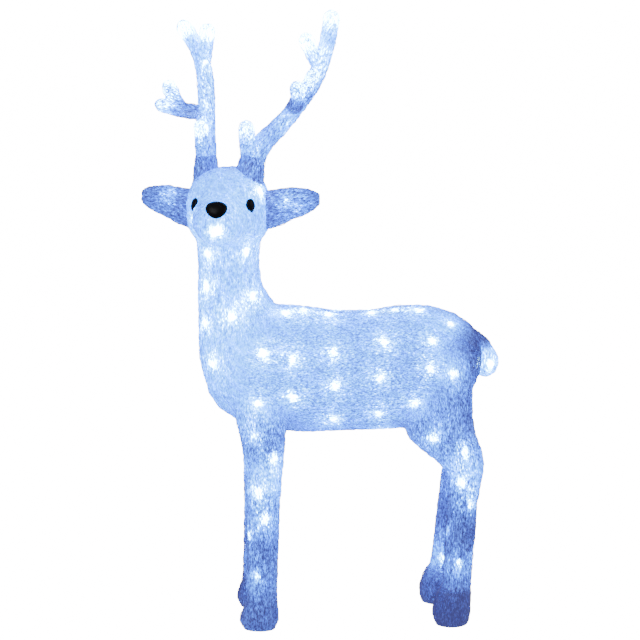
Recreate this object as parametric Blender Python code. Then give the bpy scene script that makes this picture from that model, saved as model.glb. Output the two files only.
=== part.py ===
"""Light-up yard reindeer, standing, with its head turned to its left side.

The animal is a hollow shell of fused clear threads, built from separate shells that butt at seams. Light
strings run inside it, and two antlers plug into sockets on top of the head.

Frame: metres, +Z up. The animal's body faces -X, its left side is -Y, and its soles stand on z = 0.
"""

from math import cos, pi, radians, sin

import bmesh
import bpy
from mathutils import Matrix, Vector
from mathutils.bvhtree import BVHTree

# Shells
BODY_WALL = 0.005
ANTLER_WALL = 0.003
EAR_WALL = 0.0025
SEAM = 0.0004
SEAT_GAP = 0.0005

# Seams between the body's shells
NECK_TOP_Z = 0.632
LEG_TOP_Z = 0.312
FRONT_HOOF_TOP_Z = 0.040
HIND_HOOF_TOP_Z = 0.060
SOLE_THICKNESS = 0.009
BELOW_FLOOR = 0.020

# The neck's lower seam leans back, square to the neck's root
NECK_ROOT = (-0.1375, 0.0, 0.4925)
NECK_LEAN = (-0.514, 0.0, 0.857)

# Fineness of each skin: how small the steps of its first form are, how often it is smoothed, and about how
# many triangles are kept for its outside and its inside
BODY_VOXEL = 0.004
BODY_SMOOTHING = 14
BODY_TRIANGLES = (1500, 700)
SMALL_VOXEL = 0.002
SMALL_SMOOTHING = 6
EAR_TRIANGLES = (150, 80)
TAIL_TRIANGLES = (140, 70)
ANTLER_VOXEL = 0.0016
ANTLER_SMOOTHING = 8
ANTLER_TRIANGLES = (440, 230)

# Wire holes: through the middle seam into the tail, and through each side of the head into the ears
TAIL_HOLE = ((0.240, 0.0, 0.434), (0.285, 0.0, 0.434))
EAR_HOLE = ((0.045, 0.686), (0.080, 0.687))

# Legs, as distances of their centre lines from the middle plane at the sole
FRONT_LEG_OFFSET_Y = 0.063
HIND_LEG_OFFSET_Y = 0.064
RIGHT_HIND_LEAN = 0.055
RIGHT_HIND_LEAN_TOP_Z = 0.240
RIGHT_HIND_LEAN_MIDDLE_Z = 0.135

# Head, turned to the animal's left
HEAD_CENTRE = Vector((-0.150, 0.0, 0.0))
HEAD_TURN = radians(14.5)
FORWARD = Vector((-sin(HEAD_TURN), -cos(HEAD_TURN), 0.0))
LEFT = Vector((cos(HEAD_TURN), -sin(HEAD_TURN), 0.0))
UP = Vector((0.0, 0.0, 1.0))

# Eyes and nose, as half sizes on the head, with the angle of each eye from straight ahead
EYE_ANGLES = {"eye_left": radians(51.0), "eye_right": radians(-46.5)}
EYE_Z = 0.6965
EYE_HALF_WIDTH = 0.0086
EYE_HALF_HEIGHT = 0.0112
NOSE_Z = 0.6765
NOSE_LEFT = 0.0035
NOSE_RISE = 0.36
NOSE_HALF_WIDTH = 0.0170
NOSE_HALF_HEIGHT = 0.0142
BUTTON_HALF_THICKNESS = 0.0045
STEM_LENGTH = 0.013
EYE_STEM_RADIUS = 0.0030
NOSE_STEM_RADIUS = 0.0040

# Antler seats on the head
SPIGOT_RADIUS = 0.0070
SPIGOT_BORE = 0.0050
SPIGOT_DEPTH = 0.030
SOCKET_RADIUS = 0.0100
SOCKET_CLEARANCE = 0.0004
SOCKET_FLOOR_HOLE = 0.0035
COLLAR_LENGTH = 0.030

# Light strings: lamps moulded in line on a wire
WIRE_RADIUS = 0.0009
BULB_RADIUS = 0.0026
BULB_HALF_LENGTH = 0.0042
BULB_INSET = 0.0085
WIRE_HOLE_RADIUS = 0.0045
STRING_SIDES = 5

# Cord gland, at the back of the right hind leg
GLAND_Z = 0.092
GLAND_RADIUS = 0.0042
GLAND_BORE = 0.0024
GLAND_FLANGE_RADIUS = 0.0075
GLAND_FLANGE = 0.0022
GLAND_STANDOFF = 0.0018

# Half spaces are cut with a block of this size, and cut edges are welded within this distance
BLOCK = 3.0
WELD = 0.000005

# Moves the whole model so that the middle of its box is over the origin
CENTRING = Vector((-0.0025, 0.0071145, 0.0))


# ---------------------------------------------------------------- scene and materials


def clear_scene():
    for item in list(bpy.data.objects):
        bpy.data.objects.remove(item, do_unlink=True)


def material(name, colour, roughness=0.5, metallic=0.0, glow=0.0):
    made = bpy.data.materials.get(name)
    if made is None:
        made = bpy.data.materials.new(name)
        made.use_nodes = True
        shader = made.node_tree.nodes["Principled BSDF"]
        shader.inputs["Base Color"].default_value = (*colour, 1.0)
        shader.inputs["Roughness"].default_value = roughness
        shader.inputs["Metallic"].default_value = metallic
        if glow:
            shader.inputs["Emission Color"].default_value = (*colour, 1.0)
            shader.inputs["Emission Strength"].default_value = glow
    return made


def thread_shell_material():
    return material("lit_thread_shell", (0.42, 0.58, 0.92), 0.45, 0.0, 0.35)


def dark_thread_material():
    return material("unlit_thread_shell", (0.16, 0.23, 0.52), 0.5)


def glossy_black_material():
    return material("glossy_black", (0.012, 0.010, 0.010), 0.12)


def socket_material():
    return material("clear_plastic", (0.75, 0.80, 0.86), 0.25)


def light_material():
    return material("cool_white_lamp", (0.88, 0.97, 1.0), 0.2, 0.0, 4.0)


def gland_material():
    return material("white_rubber", (0.82, 0.83, 0.84), 0.6)


# ---------------------------------------------------------------- mesh tools


def new_object(name, mesh, shade=None):
    made = bpy.data.objects.new(name, mesh)
    bpy.context.scene.collection.objects.link(made)
    if shade is not None:
        mesh.materials.clear()
        mesh.materials.append(shade)
    return made


def loft(mesh, rings, sides):
    """Adds one closed body through rings of (centre, half axis, half axis), with a point at each end."""
    rows = []
    for centre, side, rise in rings:
        angles = [2.0 * pi * k / sides for k in range(sides)]
        rows.append([mesh.verts.new(centre + side * cos(a) + rise * sin(a)) for a in angles])
    faces = []
    for low, high in zip(rows, rows[1:]):
        for k in range(sides):
            after = (k + 1) % sides
            faces.append(mesh.faces.new((low[k], low[after], high[after], high[k])))
    for row, ring in ((rows[0], rings[0]), (rows[-1], rings[-1])):
        hub = mesh.verts.new(ring[0])
        for k in range(sides):
            faces.append(mesh.faces.new((hub, row[k], row[(k + 1) % sides])))
    bmesh.ops.recalc_face_normals(mesh, faces=faces)


def side_axes(direction):
    """Two unit vectors across a direction."""
    helper = UP if abs(direction.z) < 0.9 else Vector((1.0, 0.0, 0.0))
    side = direction.cross(helper).normalized()
    return side, direction.cross(side).normalized()


def tube_rings(points, radii, domed=True):
    """Rings along a line of points. Domed ends are rounded over one radius."""
    rings = []
    last = len(points) - 1
    side = None
    for k, point in enumerate(points):
        ahead = points[min(k + 1, last)] - points[max(k - 1, 0)]
        ahead.normalize()
        if side is None:
            side = side_axes(ahead)[0]
        side = (side - ahead * side.dot(ahead)).normalized()
        rise = ahead.cross(side)
        rings.append((point, side, rise, radii[k], ahead))
    made = [(point, side * r, rise * r) for point, side, rise, r, _ in rings]
    if domed:
        made = dome(rings[0], -1.0) + made + dome(rings[-1], 1.0)
    return made


def dome(ring, sense):
    point, side, rise, radius, ahead = ring
    made = []
    for angle in (30.0, 60.0, 80.0):
        reach = radius * sin(radians(angle)) * sense
        width = radius * cos(radians(angle))
        made.append((point + ahead * reach, side * width, rise * width))
    return made if sense > 0 else made[::-1]


def lofted(ring_sets, sides):
    """One mesh that holds a closed body for each set of rings. The bodies may overlap."""
    build = bmesh.new()
    for rings in ring_sets:
        loft(build, rings, sides)
    mesh = bpy.data.meshes.new("loft")
    build.to_mesh(mesh)
    build.free()
    return mesh


def evaluated(made):
    """The object's mesh with its modifiers applied. The object itself is removed."""
    graph = bpy.context.evaluated_depsgraph_get()
    graph.update()
    mesh = bpy.data.meshes.new_from_object(made.evaluated_get(graph))
    bpy.data.objects.remove(made, do_unlink=True)
    return mesh


def skin(ring_sets, voxel, smoothing, triangles, sides=24):
    """One smooth closed skin around overlapping bodies, reduced to about a number of triangles."""
    made = new_object("skin", lofted(ring_sets, sides))
    remesh = made.modifiers.new("join", "REMESH")
    remesh.mode = "VOXEL"
    remesh.voxel_size = voxel
    smooth = made.modifiers.new("blend", "SMOOTH")
    smooth.factor = 0.5
    smooth.iterations = smoothing
    mesh = evaluated(made)
    count = sum(len(face.vertices) - 2 for face in mesh.polygons)
    made = new_object("skin", mesh)
    reduce = made.modifiers.new("reduce", "DECIMATE")
    reduce.ratio = min(1.0, triangles / count)
    reduce.use_collapse_triangulate = True
    return evaluated(made)


def welded(mesh):
    """The mesh with coincident points welded and zero-length edges gone."""
    build = bmesh.new()
    build.from_mesh(mesh)
    bmesh.ops.remove_doubles(build, verts=build.verts, dist=WELD)
    bmesh.ops.dissolve_degenerate(build, edges=build.edges, dist=WELD)
    build.to_mesh(mesh)
    build.free()
    return mesh


def main_body(mesh):
    """The largest connected body of a mesh, without a cut's loose slivers."""
    build = bmesh.new()
    build.from_mesh(mesh)
    groups = []
    left = set(build.verts)
    while left:
        group = {left.pop()}
        front = list(group)
        while front:
            point = front.pop()
            for edge in point.link_edges:
                other = edge.other_vert(point)
                if other in left:
                    left.discard(other)
                    group.add(other)
                    front.append(other)
        groups.append(group)
    groups.sort(key=len)
    for group in groups[:-1]:
        bmesh.ops.delete(build, geom=list(group), context="VERTS")
    build.to_mesh(mesh)
    build.free()
    return mesh


def combined(first, second, operation):
    """The Boolean of two meshes, as a new mesh."""
    base = new_object("base", first.copy())
    tool = new_object("tool", second)
    step = base.modifiers.new("boolean", "BOOLEAN")
    step.operation = operation
    step.solver = "EXACT"
    step.object = tool
    mesh = evaluated(base)
    bpy.data.objects.remove(tool, do_unlink=True)
    return welded(mesh)


def spun(base, axis, profile, sides=18):
    """A ring-shaped body: a closed outline of (radius, height) turned about an axis."""
    side, rise = side_axes(axis)
    build = bmesh.new()
    rows = []
    for k in range(sides):
        angle = 2.0 * pi * k / sides
        out = side * cos(angle) + rise * sin(angle)
        rows.append([build.verts.new(base + out * radius + axis * height) for radius, height in profile])
    count = len(profile)
    for k in range(sides):
        row = rows[k]
        after = rows[(k + 1) % sides]
        for j in range(count):
            nxt = (j + 1) % count
            build.faces.new((row[j], row[nxt], after[nxt], after[j]))
    bmesh.ops.recalc_face_normals(build, faces=build.faces)
    mesh = bpy.data.meshes.new("spun")
    build.to_mesh(mesh)
    build.free()
    return mesh


def inflated(mesh, amount):
    """A copy of a mesh whose points are moved out along their normals."""
    copy = mesh.copy()
    moved = [point.co + point.normal * amount for point in copy.vertices]
    for point, place in zip(copy.vertices, moved):
        point.co = place
    return copy


def half_space(point, normal):
    """A large block on the normal's side of a plane."""
    normal = Vector(normal).normalized()
    build = bmesh.new()
    bmesh.ops.create_cube(build, size=BLOCK)
    turn = normal.to_track_quat("Z", "Y").to_matrix().to_4x4()
    place = Matrix.Translation(Vector(point) + normal * (BLOCK / 2 + SEAM / 2)) @ turn
    bmesh.ops.transform(build, matrix=place, verts=build.verts)
    mesh = bpy.data.meshes.new("half")
    build.to_mesh(mesh)
    build.free()
    return mesh


def rod(start, end, radius, sides=16):
    """A straight solid rod."""
    start = Vector(start)
    end = Vector(end)
    side, rise = side_axes((end - start).normalized())
    return lofted([[(start, side * radius, rise * radius), (end, side * radius, rise * radius)]], sides)


def ellipsoid(centre, axes, sides=20, rows=9):
    """An ellipsoid with three half axes given as vectors; its poles are on the third one."""
    rings = []
    for k in range(rows):
        angle = pi * (k + 1) / (rows + 1)
        width = sin(angle)
        rings.append((centre - axes[2] * cos(angle), axes[0] * width, axes[1] * width))
    return lofted([rings], sides)


def cut(mesh, *halves):
    """The part of a mesh inside every half space (point, normal)."""
    made = mesh
    for point, normal in halves:
        made = combined(made, half_space(point, normal), "INTERSECT")
    return made


def head_point(left, ahead, height):
    return HEAD_CENTRE + LEFT * left + FORWARD * ahead + UP * height


# ---------------------------------------------------------------- body


def torso_rings(inset):
    sections = [
        (-0.185, 0.431, 0.047, 0.036),
        (-0.166, 0.429, 0.073, 0.057),
        (-0.130, 0.427, 0.094, 0.074),
        (-0.080, 0.424, 0.104, 0.082),
        (-0.030, 0.420, 0.104, 0.085),
        (0.030, 0.416, 0.099, 0.085),
        (0.080, 0.417, 0.099, 0.086),
        (0.130, 0.421, 0.102, 0.086),
        (0.180, 0.424, 0.098, 0.083),
        (0.220, 0.426, 0.083, 0.073),
        (0.246, 0.434, 0.058, 0.056),
        (0.261, 0.440, 0.031, 0.031),
    ]
    return [
        (Vector((x, 0.0, z)), Vector((0.0, wide - inset, 0.0)), Vector((0.0, 0.0, tall - inset)))
        for x, z, tall, wide in sections
        if wide - inset > 0.02
    ]


def neck_rings(inset):
    sections = [
        (0.400, -0.117, 0.072, 0.064),
        (0.440, -0.121, 0.078, 0.067),
        (0.480, -0.123, 0.077, 0.064),
        (0.520, -0.135, 0.065, 0.056),
        (0.560, -0.148, 0.052, 0.050),
        (0.600, -0.150, 0.049, 0.047),
        (0.640, -0.150, 0.053, 0.050),
        (0.670, -0.150, 0.054, 0.052),
    ]
    return [
        (Vector((x, 0.0, z)), Vector((along - inset, 0.0, 0.0)), Vector((0.0, wide - inset, 0.0)))
        for z, x, along, wide in sections
    ]


def head_rings(inset):
    sections = [
        (0.640, 0.058, 0.052),
        (0.655, 0.066, 0.060),
        (0.675, 0.068, 0.065),
        (0.695, 0.068, 0.066),
        (0.713, 0.065, 0.063),
        (0.730, 0.057, 0.054),
        (0.743, 0.043, 0.041),
        (0.752, 0.024, 0.023),
    ]
    return [
        (head_point(0.0, 0.0, z - (inset if z > 0.72 else 0.0)), LEFT * (wide - inset), FORWARD * (deep - inset))
        for z, wide, deep in sections
    ]


def muzzle_rings(inset):
    sections = [
        (0.010, 0.683, 0.060, 0.054),
        (0.045, 0.677, 0.050, 0.046),
        (0.070, 0.673, 0.042, 0.039),
        (0.090, 0.671, 0.034, 0.033),
        (0.103, 0.671, 0.024, 0.024),
        (0.109, 0.671, 0.013, 0.013),
    ]
    return [
        (head_point(0.0, ahead - inset, z), LEFT * (wide - inset), UP * (tall - inset))
        for ahead, z, wide, tall in sections
    ]


def front_leg_rings(side, inset):
    sections = [
        (0.400, -0.100, 0.050, 0.034, 0.044),
        (0.360, -0.100, 0.045, 0.033, 0.050),
        (0.330, -0.099, 0.039, 0.032, 0.055),
        (0.300, -0.0970, 0.0340, 0.031, 0.058),
        (0.266, -0.0960, 0.0300, 0.029, 0.061),
        (0.215, -0.0980, 0.0270, 0.027, FRONT_LEG_OFFSET_Y),
        (0.150, -0.0990, 0.0262, 0.026, FRONT_LEG_OFFSET_Y),
        (0.100, -0.1005, 0.0256, 0.0255, FRONT_LEG_OFFSET_Y),
        (0.050, -0.102, 0.026, 0.0255, FRONT_LEG_OFFSET_Y),
        (0.032, -0.104, 0.030, 0.028, FRONT_LEG_OFFSET_Y),
        (0.014, -0.106, 0.033, 0.030, FRONT_LEG_OFFSET_Y),
        (0.005, -0.1055, 0.030, 0.0275, FRONT_LEG_OFFSET_Y),
        (0.000, -0.105, 0.0255, 0.0235, FRONT_LEG_OFFSET_Y),
    ]
    return leg_rings(sections, side, inset)


def right_hind_lean(z):
    """The right hind leg leans further forward towards its hoof than the left one."""
    if z < RIGHT_HIND_LEAN_TOP_Z:
        return (z - RIGHT_HIND_LEAN_MIDDLE_Z) * RIGHT_HIND_LEAN
    return max(0.0, LEG_TOP_Z - z) * (RIGHT_HIND_LEAN_TOP_Z - RIGHT_HIND_LEAN_MIDDLE_Z) * RIGHT_HIND_LEAN / (
        LEG_TOP_Z - RIGHT_HIND_LEAN_TOP_Z)


def hind_leg_rings(side, inset):
    sections = [
        (0.440, 0.193, 0.055, 0.036, 0.040),
        (0.385, 0.187, 0.058, 0.038, 0.046),
        (0.345, 0.185, 0.060, 0.037, 0.051),
        (0.312, 0.196, 0.056, 0.034, 0.055),
        (0.290, 0.2135, 0.0475, 0.032, 0.058),
        (0.273, 0.226, 0.038, 0.030, 0.060),
        (0.255, 0.232, 0.030, 0.028, 0.062),
        (0.235, 0.2315, 0.0260, 0.026, HIND_LEG_OFFSET_Y),
        (0.205, 0.228, 0.0245, 0.0245, HIND_LEG_OFFSET_Y),
        (0.160, 0.2255, 0.0245, 0.0245, HIND_LEG_OFFSET_Y),
        (0.110, 0.2225, 0.0240, 0.0240, HIND_LEG_OFFSET_Y),
        (0.068, 0.2200, 0.0235, 0.0240, HIND_LEG_OFFSET_Y),
        (0.050, 0.2150, 0.0300, 0.0285, HIND_LEG_OFFSET_Y),
        (0.026, 0.2115, 0.0325, 0.0310, HIND_LEG_OFFSET_Y),
        (0.012, 0.2115, 0.0315, 0.0300, HIND_LEG_OFFSET_Y),
        (0.004, 0.2115, 0.0285, 0.0270, HIND_LEG_OFFSET_Y),
        (0.000, 0.2115, 0.0245, 0.0235, HIND_LEG_OFFSET_Y),
    ]
    if side > 0:
        sections = [(row[0], row[1] + right_hind_lean(row[0]), *row[2:]) for row in sections]
    return leg_rings(sections, side, inset)


def leg_rings(sections, side, inset):
    """A leg's outside runs on below the floor, where the sole is cut flat. Its hollow stops at the sole."""
    rings = []
    for z, x, along, wide, offset in sections:
        if inset and z < SOLE_THICKNESS:
            break
        centre = Vector((x, side * offset, z))
        rings.append((centre, Vector((along - inset, 0.0, 0.0)), Vector((0.0, wide - inset, 0.0))))
    if not inset:
        centre, along, wide = rings[-1]
        rings.append((centre - UP * BELOW_FLOOR, along, wide))
    return rings


def body_ring_sets(inset):
    sets = [torso_rings(inset), neck_rings(inset), head_rings(inset), muzzle_rings(inset)]
    for side in (-1.0, 1.0):
        sets.append(front_leg_rings(side, inset))
        sets.append(hind_leg_rings(side, inset))
    return sets


def body_skins():
    outer = skin(body_ring_sets(0.0), BODY_VOXEL, BODY_SMOOTHING, BODY_TRIANGLES[0])
    inner = skin(body_ring_sets(BODY_WALL), BODY_VOXEL, BODY_SMOOTHING, BODY_TRIANGLES[1])
    outer = cut(outer, ((0.0, 0.0, -SEAM / 2), (0.0, 0.0, 1.0)))
    return outer, inner


def body_nodes(shell):
    """The body's shells by name."""
    below_neck = (NECK_ROOT, tuple(-value for value in NECK_LEAN))
    above_neck = (NECK_ROOT, NECK_LEAN)
    nodes = {}
    nodes["head_shell"] = cut(shell, ((0.0, 0.0, NECK_TOP_Z), (0, 0, 1)))
    nodes["neck_shell"] = cut(shell, above_neck, ((0.0, 0.0, NECK_TOP_Z), (0, 0, -1)))
    trunk = cut(shell, below_neck, ((0.0, 0.0, LEG_TOP_Z), (0, 0, 1)))
    tail_hole = rod(*TAIL_HOLE, WIRE_HOLE_RADIUS)
    trunk = combined(trunk, tail_hole, "DIFFERENCE")
    nodes["torso_shell_left"] = cut(trunk, ((0.0, 0.0, 0.0), (0, -1, 0)))
    nodes["torso_shell_right"] = cut(trunk, ((0.0, 0.0, 0.0), (0, 1, 0)))
    legs = cut(shell, ((0.0, 0.0, LEG_TOP_Z), (0, 0, -1)))
    ends = (("front", -1, FRONT_HOOF_TOP_Z), ("hind", 1, HIND_HOOF_TOP_Z))
    for end, along, hoof_top in ends:
        for side_name, side in (("left", -1), ("right", 1)):
            leg = cut(legs, ((0.05, 0.0, 0.0), (along, 0, 0)), ((0.0, 0.0, 0.0), (0, side, 0)))
            nodes["leg_%s_%s" % (end, side_name)] = cut(leg, ((0.0, 0.0, hoof_top), (0, 0, 1)))
            nodes["hoof_%s_%s" % (end, side_name)] = cut(leg, ((0.0, 0.0, hoof_top), (0, 0, -1)))
    return nodes


# ---------------------------------------------------------------- ears and tail


def ear_rings(side, inset):
    sections = [
        (0.045, 0.684, 0.032, 0.0165, 0.004),
        (0.062, 0.684, 0.032, 0.0165, 0.002),
        (0.085, 0.689, 0.030, 0.0160, -0.002),
        (0.105, 0.695, 0.026, 0.0140, -0.006),
        (0.125, 0.698, 0.0215, 0.0115, -0.010),
        (0.140, 0.700, 0.0150, 0.0085, -0.013),
        (0.147, 0.701, 0.0090, 0.0060, -0.014),
    ]
    return [
        (head_point(side * out, ahead, z), UP * (tall - inset), FORWARD * (thick - inset))
        for out, z, tall, thick, ahead in sections
        if thick - inset > 0.003
    ]


def ear_mesh(side, head_solid):
    outer = skin([ear_rings(side, 0.0)], SMALL_VOXEL, SMALL_SMOOTHING, EAR_TRIANGLES[0])
    inner = skin([ear_rings(side, EAR_WALL)], SMALL_VOXEL, SMALL_SMOOTHING, EAR_TRIANGLES[1])
    return seated(combined(outer, inner, "DIFFERENCE"), head_solid)


def seated(mesh, solid):
    """The part of a mesh outside a solid, clear of it by the seat gap."""
    return combined(mesh, inflated(solid, SEAT_GAP), "DIFFERENCE")


TAIL_LINE = [Vector((0.236, 0.0, 0.474)), Vector((0.256, 0.0, 0.456)), Vector((0.2695, 0.0, 0.428))]
TAIL_RADII = [0.017, 0.022, 0.0252]


def tail_mesh(body_solid):
    outer = skin([tube_rings(TAIL_LINE, TAIL_RADII)], SMALL_VOXEL, SMALL_SMOOTHING, TAIL_TRIANGLES[0])
    thin = [radius - EAR_WALL for radius in TAIL_RADII]
    inner = skin([tube_rings(TAIL_LINE, thin)], SMALL_VOXEL, SMALL_SMOOTHING, TAIL_TRIANGLES[1])
    return seated(combined(outer, inner, "DIFFERENCE"), body_solid)


# ---------------------------------------------------------------- face


def button(centre, outward, wide, tall, stem_radius, grow=0.0):
    """A domed button with a stem behind it."""
    side, _ = side_axes(outward)
    rise = outward.cross(side).normalized()
    if abs(rise.z) < abs(side.z):
        side, rise = rise, side
    axes = (side * (wide + grow), rise * (tall + grow), outward * (BUTTON_HALF_THICKNESS + grow))
    head = ellipsoid(centre, axes, 14, 5)
    stem = rod(centre, centre - outward * (STEM_LENGTH + grow), stem_radius + grow, 8)
    return combined(head, stem, "UNION")


def face_buttons(head_solid):
    """Place, outward direction and half sizes of the eyes and the nose."""
    tree = surface_tree(head_solid)
    made = {}
    for name, angle in EYE_ANGLES.items():
        start = head_point(0.0, 0.010, EYE_Z)
        aim = LEFT * sin(angle) + FORWARD * cos(angle)
        place, normal, _, _ = tree.ray_cast(start, aim)
        outward = (aim + normal).normalized()
        made[name] = (place, outward, EYE_HALF_WIDTH, EYE_HALF_HEIGHT, EYE_STEM_RADIUS)
    start = head_point(NOSE_LEFT, 0.050, NOSE_Z)
    aim = (FORWARD + UP * NOSE_RISE).normalized()
    place, normal, _, _ = tree.ray_cast(start, aim)
    outward = (aim + normal).normalized()
    made["nose"] = (place, outward, NOSE_HALF_WIDTH, NOSE_HALF_HEIGHT, NOSE_STEM_RADIUS)
    return made


# ---------------------------------------------------------------- antlers


def antler_layout(name):
    """Centre lines and radii of one antler: beam first, then its branches, all from the head outward."""
    if name == "left":
        return {
            "beam": (
                [(-0.118, -0.011, 0.730), (-0.109, -0.010, 0.768), (-0.088, -0.006, 0.797), (-0.058, 0.000, 0.827),
                 (-0.034, 0.005, 0.856), (-0.013, 0.010, 0.885), (0.001, 0.014, 0.916), (0.011, 0.017, 0.947),
                 (0.0185, 0.018, 0.9900)],
                [0.0252, 0.0200, 0.0158, 0.0142, 0.0138, 0.0134, 0.0132, 0.0132, 0.0128],
            ),
            "brow_tine": (
                [(-0.114, -0.012, 0.760), (-0.119, -0.025, 0.790), (-0.121, -0.033, 0.818)],
                [0.0145, 0.0135, 0.0125],
            ),
            "mid_branch": (
                [(-0.046, 0.003, 0.842), (-0.042, -0.028, 0.856), (-0.040, -0.050, 0.867), (-0.042, -0.064, 0.883)],
                [0.0125, 0.0120, 0.0116, 0.0116],
            ),
            "mid_branch_fork": (
                [(-0.038, -0.044, 0.864), (-0.024, -0.056, 0.886), (-0.017, -0.060, 0.902)],
                [0.0112, 0.0110, 0.0106],
            ),
            "upper_tine": (
                [(0.000, 0.014, 0.913), (-0.013, 0.008, 0.936), (-0.023, 0.002, 0.955)],
                [0.0125, 0.0120, 0.0118],
            ),
        }
    return {
        "beam": (
            [(-0.184, 0.011, 0.730), (-0.185, 0.011, 0.768), (-0.185, 0.016, 0.797), (-0.184, 0.028, 0.828),
             (-0.183, 0.042, 0.860), (-0.184, 0.054, 0.890), (-0.189, 0.063, 0.920), (-0.201, 0.068, 0.948),
             (-0.217, 0.071, 0.9735)],
            [0.0226, 0.0178, 0.0152, 0.0144, 0.0138, 0.0134, 0.0132, 0.0128, 0.0122],
        ),
        "brow_tine": (
            [(-0.185, 0.006, 0.760), (-0.190, -0.010, 0.790), (-0.193, -0.019, 0.820)],
            [0.0132, 0.0124, 0.0114],
        ),
        "mid_branch": (
            [(-0.183, 0.034, 0.838), (-0.206, 0.026, 0.840), (-0.228, 0.018, 0.845), (-0.255, 0.010, 0.852)],
            [0.0125, 0.0124, 0.0120, 0.0112],
        ),
        "mid_branch_fork": (
            [(-0.226, 0.019, 0.846), (-0.236, 0.012, 0.865), (-0.243, 0.008, 0.881)],
            [0.0114, 0.0116, 0.0116],
        ),
        "upper_tine": (
            [(-0.187, 0.062, 0.918), (-0.183, 0.054, 0.944), (-0.180, 0.047, 0.969)],
            [0.0125, 0.0120, 0.0116],
        ),
    }


# How far each branch's seam is from the start of its own centre line, and the reach of its cutter
BRANCH_SEAM = {"brow_tine": 0.019, "mid_branch": 0.018, "upper_tine": 0.018}
BRANCH_REACH = {"brow_tine": 0.0145, "mid_branch": 0.036, "upper_tine": 0.0150}


def smooth_line(points, radii, steps=4):
    """A Catmull-Rom curve through the points, with the radii blended along it."""
    points = [Vector(point) for point in points]
    padded = [points[0] * 2 - points[1]] + points + [points[-1] * 2 - points[-2]]
    line = []
    widths = []
    for k in range(len(points) - 1):
        before, start, end, after = padded[k : k + 4]
        for step in range(steps):
            t = step / steps
            spot = start * 2 + (end - before) * t
            spot += (before * 2 - start * 5 + end * 4 - after) * t * t
            spot += (start * 3 - before - end * 3 + after) * t * t * t
            line.append(spot * 0.5)
            widths.append(radii[k] * (1 - t) + radii[k + 1] * t)
    line.append(points[-1])
    widths.append(radii[-1])
    return line, widths


def plug_axis(layout):
    points = layout["beam"][0]
    return (Vector(points[1]) - Vector(points[0])).normalized()


def plug_seat(layout):
    """The point of the plug's axis that is level with the top of the head there."""
    points = layout["beam"][0]
    start = Vector(points[0])
    return start + plug_axis(layout) * 0.012


def antler_ring_sets(layout, inset):
    sets = []
    for points, radii in layout.values():
        line, widths = smooth_line(points, radii)
        sets.append(tube_rings(line, [width - inset for width in widths]))
    return sets


def branch_cutter(layout, branch, shift):
    points = [Vector(point) for point in layout[branch][0]]
    ahead = (points[-1] - points[0]).normalized()
    start = points[0] + ahead * (BRANCH_SEAM[branch] + shift)
    reach = BRANCH_REACH[branch] - shift
    return rod(start, start + ahead * 0.12, reach, 24)


def antler_nodes(name, layout, head_solid):
    outer = skin(antler_ring_sets(layout, 0.0), ANTLER_VOXEL, ANTLER_SMOOTHING, ANTLER_TRIANGLES[0], 16)
    inner = skin(antler_ring_sets(layout, ANTLER_WALL), ANTLER_VOXEL, ANTLER_SMOOTHING, ANTLER_TRIANGLES[1], 12)
    shell = seated(combined(outer, inner, "DIFFERENCE"), head_solid)
    axis = plug_axis(layout)
    seat = plug_seat(layout)
    nodes = {}
    rest = shell
    for branch in BRANCH_SEAM:
        nodes[branch] = combined(rest, branch_cutter(layout, branch, SEAM / 2), "INTERSECT")
        rest = combined(rest, branch_cutter(layout, branch, -SEAM / 2), "DIFFERENCE")
    split = seat + axis * COLLAR_LENGTH
    nodes["collar"] = cut(rest, (split, -axis))
    nodes["beam"] = cut(rest, (split, axis))
    return {"antler_%s_%s" % (piece, name): mesh for piece, mesh in nodes.items()}


def spigot_mesh(layout):
    """The tube that the antler plugs in with. It is held in the collar and goes down into the socket."""
    top = COLLAR_LENGTH - 0.004
    profile = [
        (SPIGOT_BORE, -SPIGOT_DEPTH),
        (SPIGOT_RADIUS - 0.0008, -SPIGOT_DEPTH),
        (SPIGOT_RADIUS, -SPIGOT_DEPTH + 0.0015),
        (SPIGOT_RADIUS, top),
        (SPIGOT_BORE, top),
    ]
    return spun(plug_seat(layout), plug_axis(layout), profile, 16)


def socket_mesh(layout):
    """A cup through the top of the head, with a cable hole in its floor."""
    bore = SPIGOT_RADIUS + SOCKET_CLEARANCE
    floor = -SPIGOT_DEPTH - 0.001
    profile = [
        (SOCKET_FLOOR_HOLE, floor - 0.002),
        (SOCKET_RADIUS, floor - 0.002),
        (SOCKET_RADIUS, -0.001),
        (bore, -0.001),
        (bore, floor),
        (SOCKET_FLOOR_HOLE, floor),
    ]
    return spun(plug_seat(layout), plug_axis(layout), profile)


def socket_hole(layout):
    axis = plug_axis(layout)
    seat = plug_seat(layout)
    return rod(seat - axis * 0.05, seat + axis * 0.05, SOCKET_RADIUS + SEAM, 18)


# ---------------------------------------------------------------- light strings


def light_string(points, lamps):
    """One body: a thin wire through points that swells to a lamp at the ones numbered in lamps."""
    line = []
    radii = []
    last = len(points) - 1
    for k, point in enumerate(points):
        ahead = (points[min(k + 1, last)] - points[max(k - 1, 0)]).normalized()
        if k not in lamps:
            line.append(point)
            radii.append(WIRE_RADIUS)
            continue
        for reach, radius in ((-1.0, WIRE_RADIUS), (0.0, BULB_RADIUS), (1.0, WIRE_RADIUS)):
            line.append(point + ahead * (BULB_HALF_LENGTH * reach))
            radii.append(radius)
    return lofted([tube_rings(line, radii, False)], STRING_SIDES)


def wall_spots(tree, spots):
    """Lamp places just inside the shell. A spot is a start inside the body and a direction to the wall."""
    points = []
    for start, aim in spots:
        aim = Vector(aim).normalized()
        points.append(tree.ray_cast(Vector(start), aim)[0] - aim * BULB_INSET)
    return points


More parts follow.
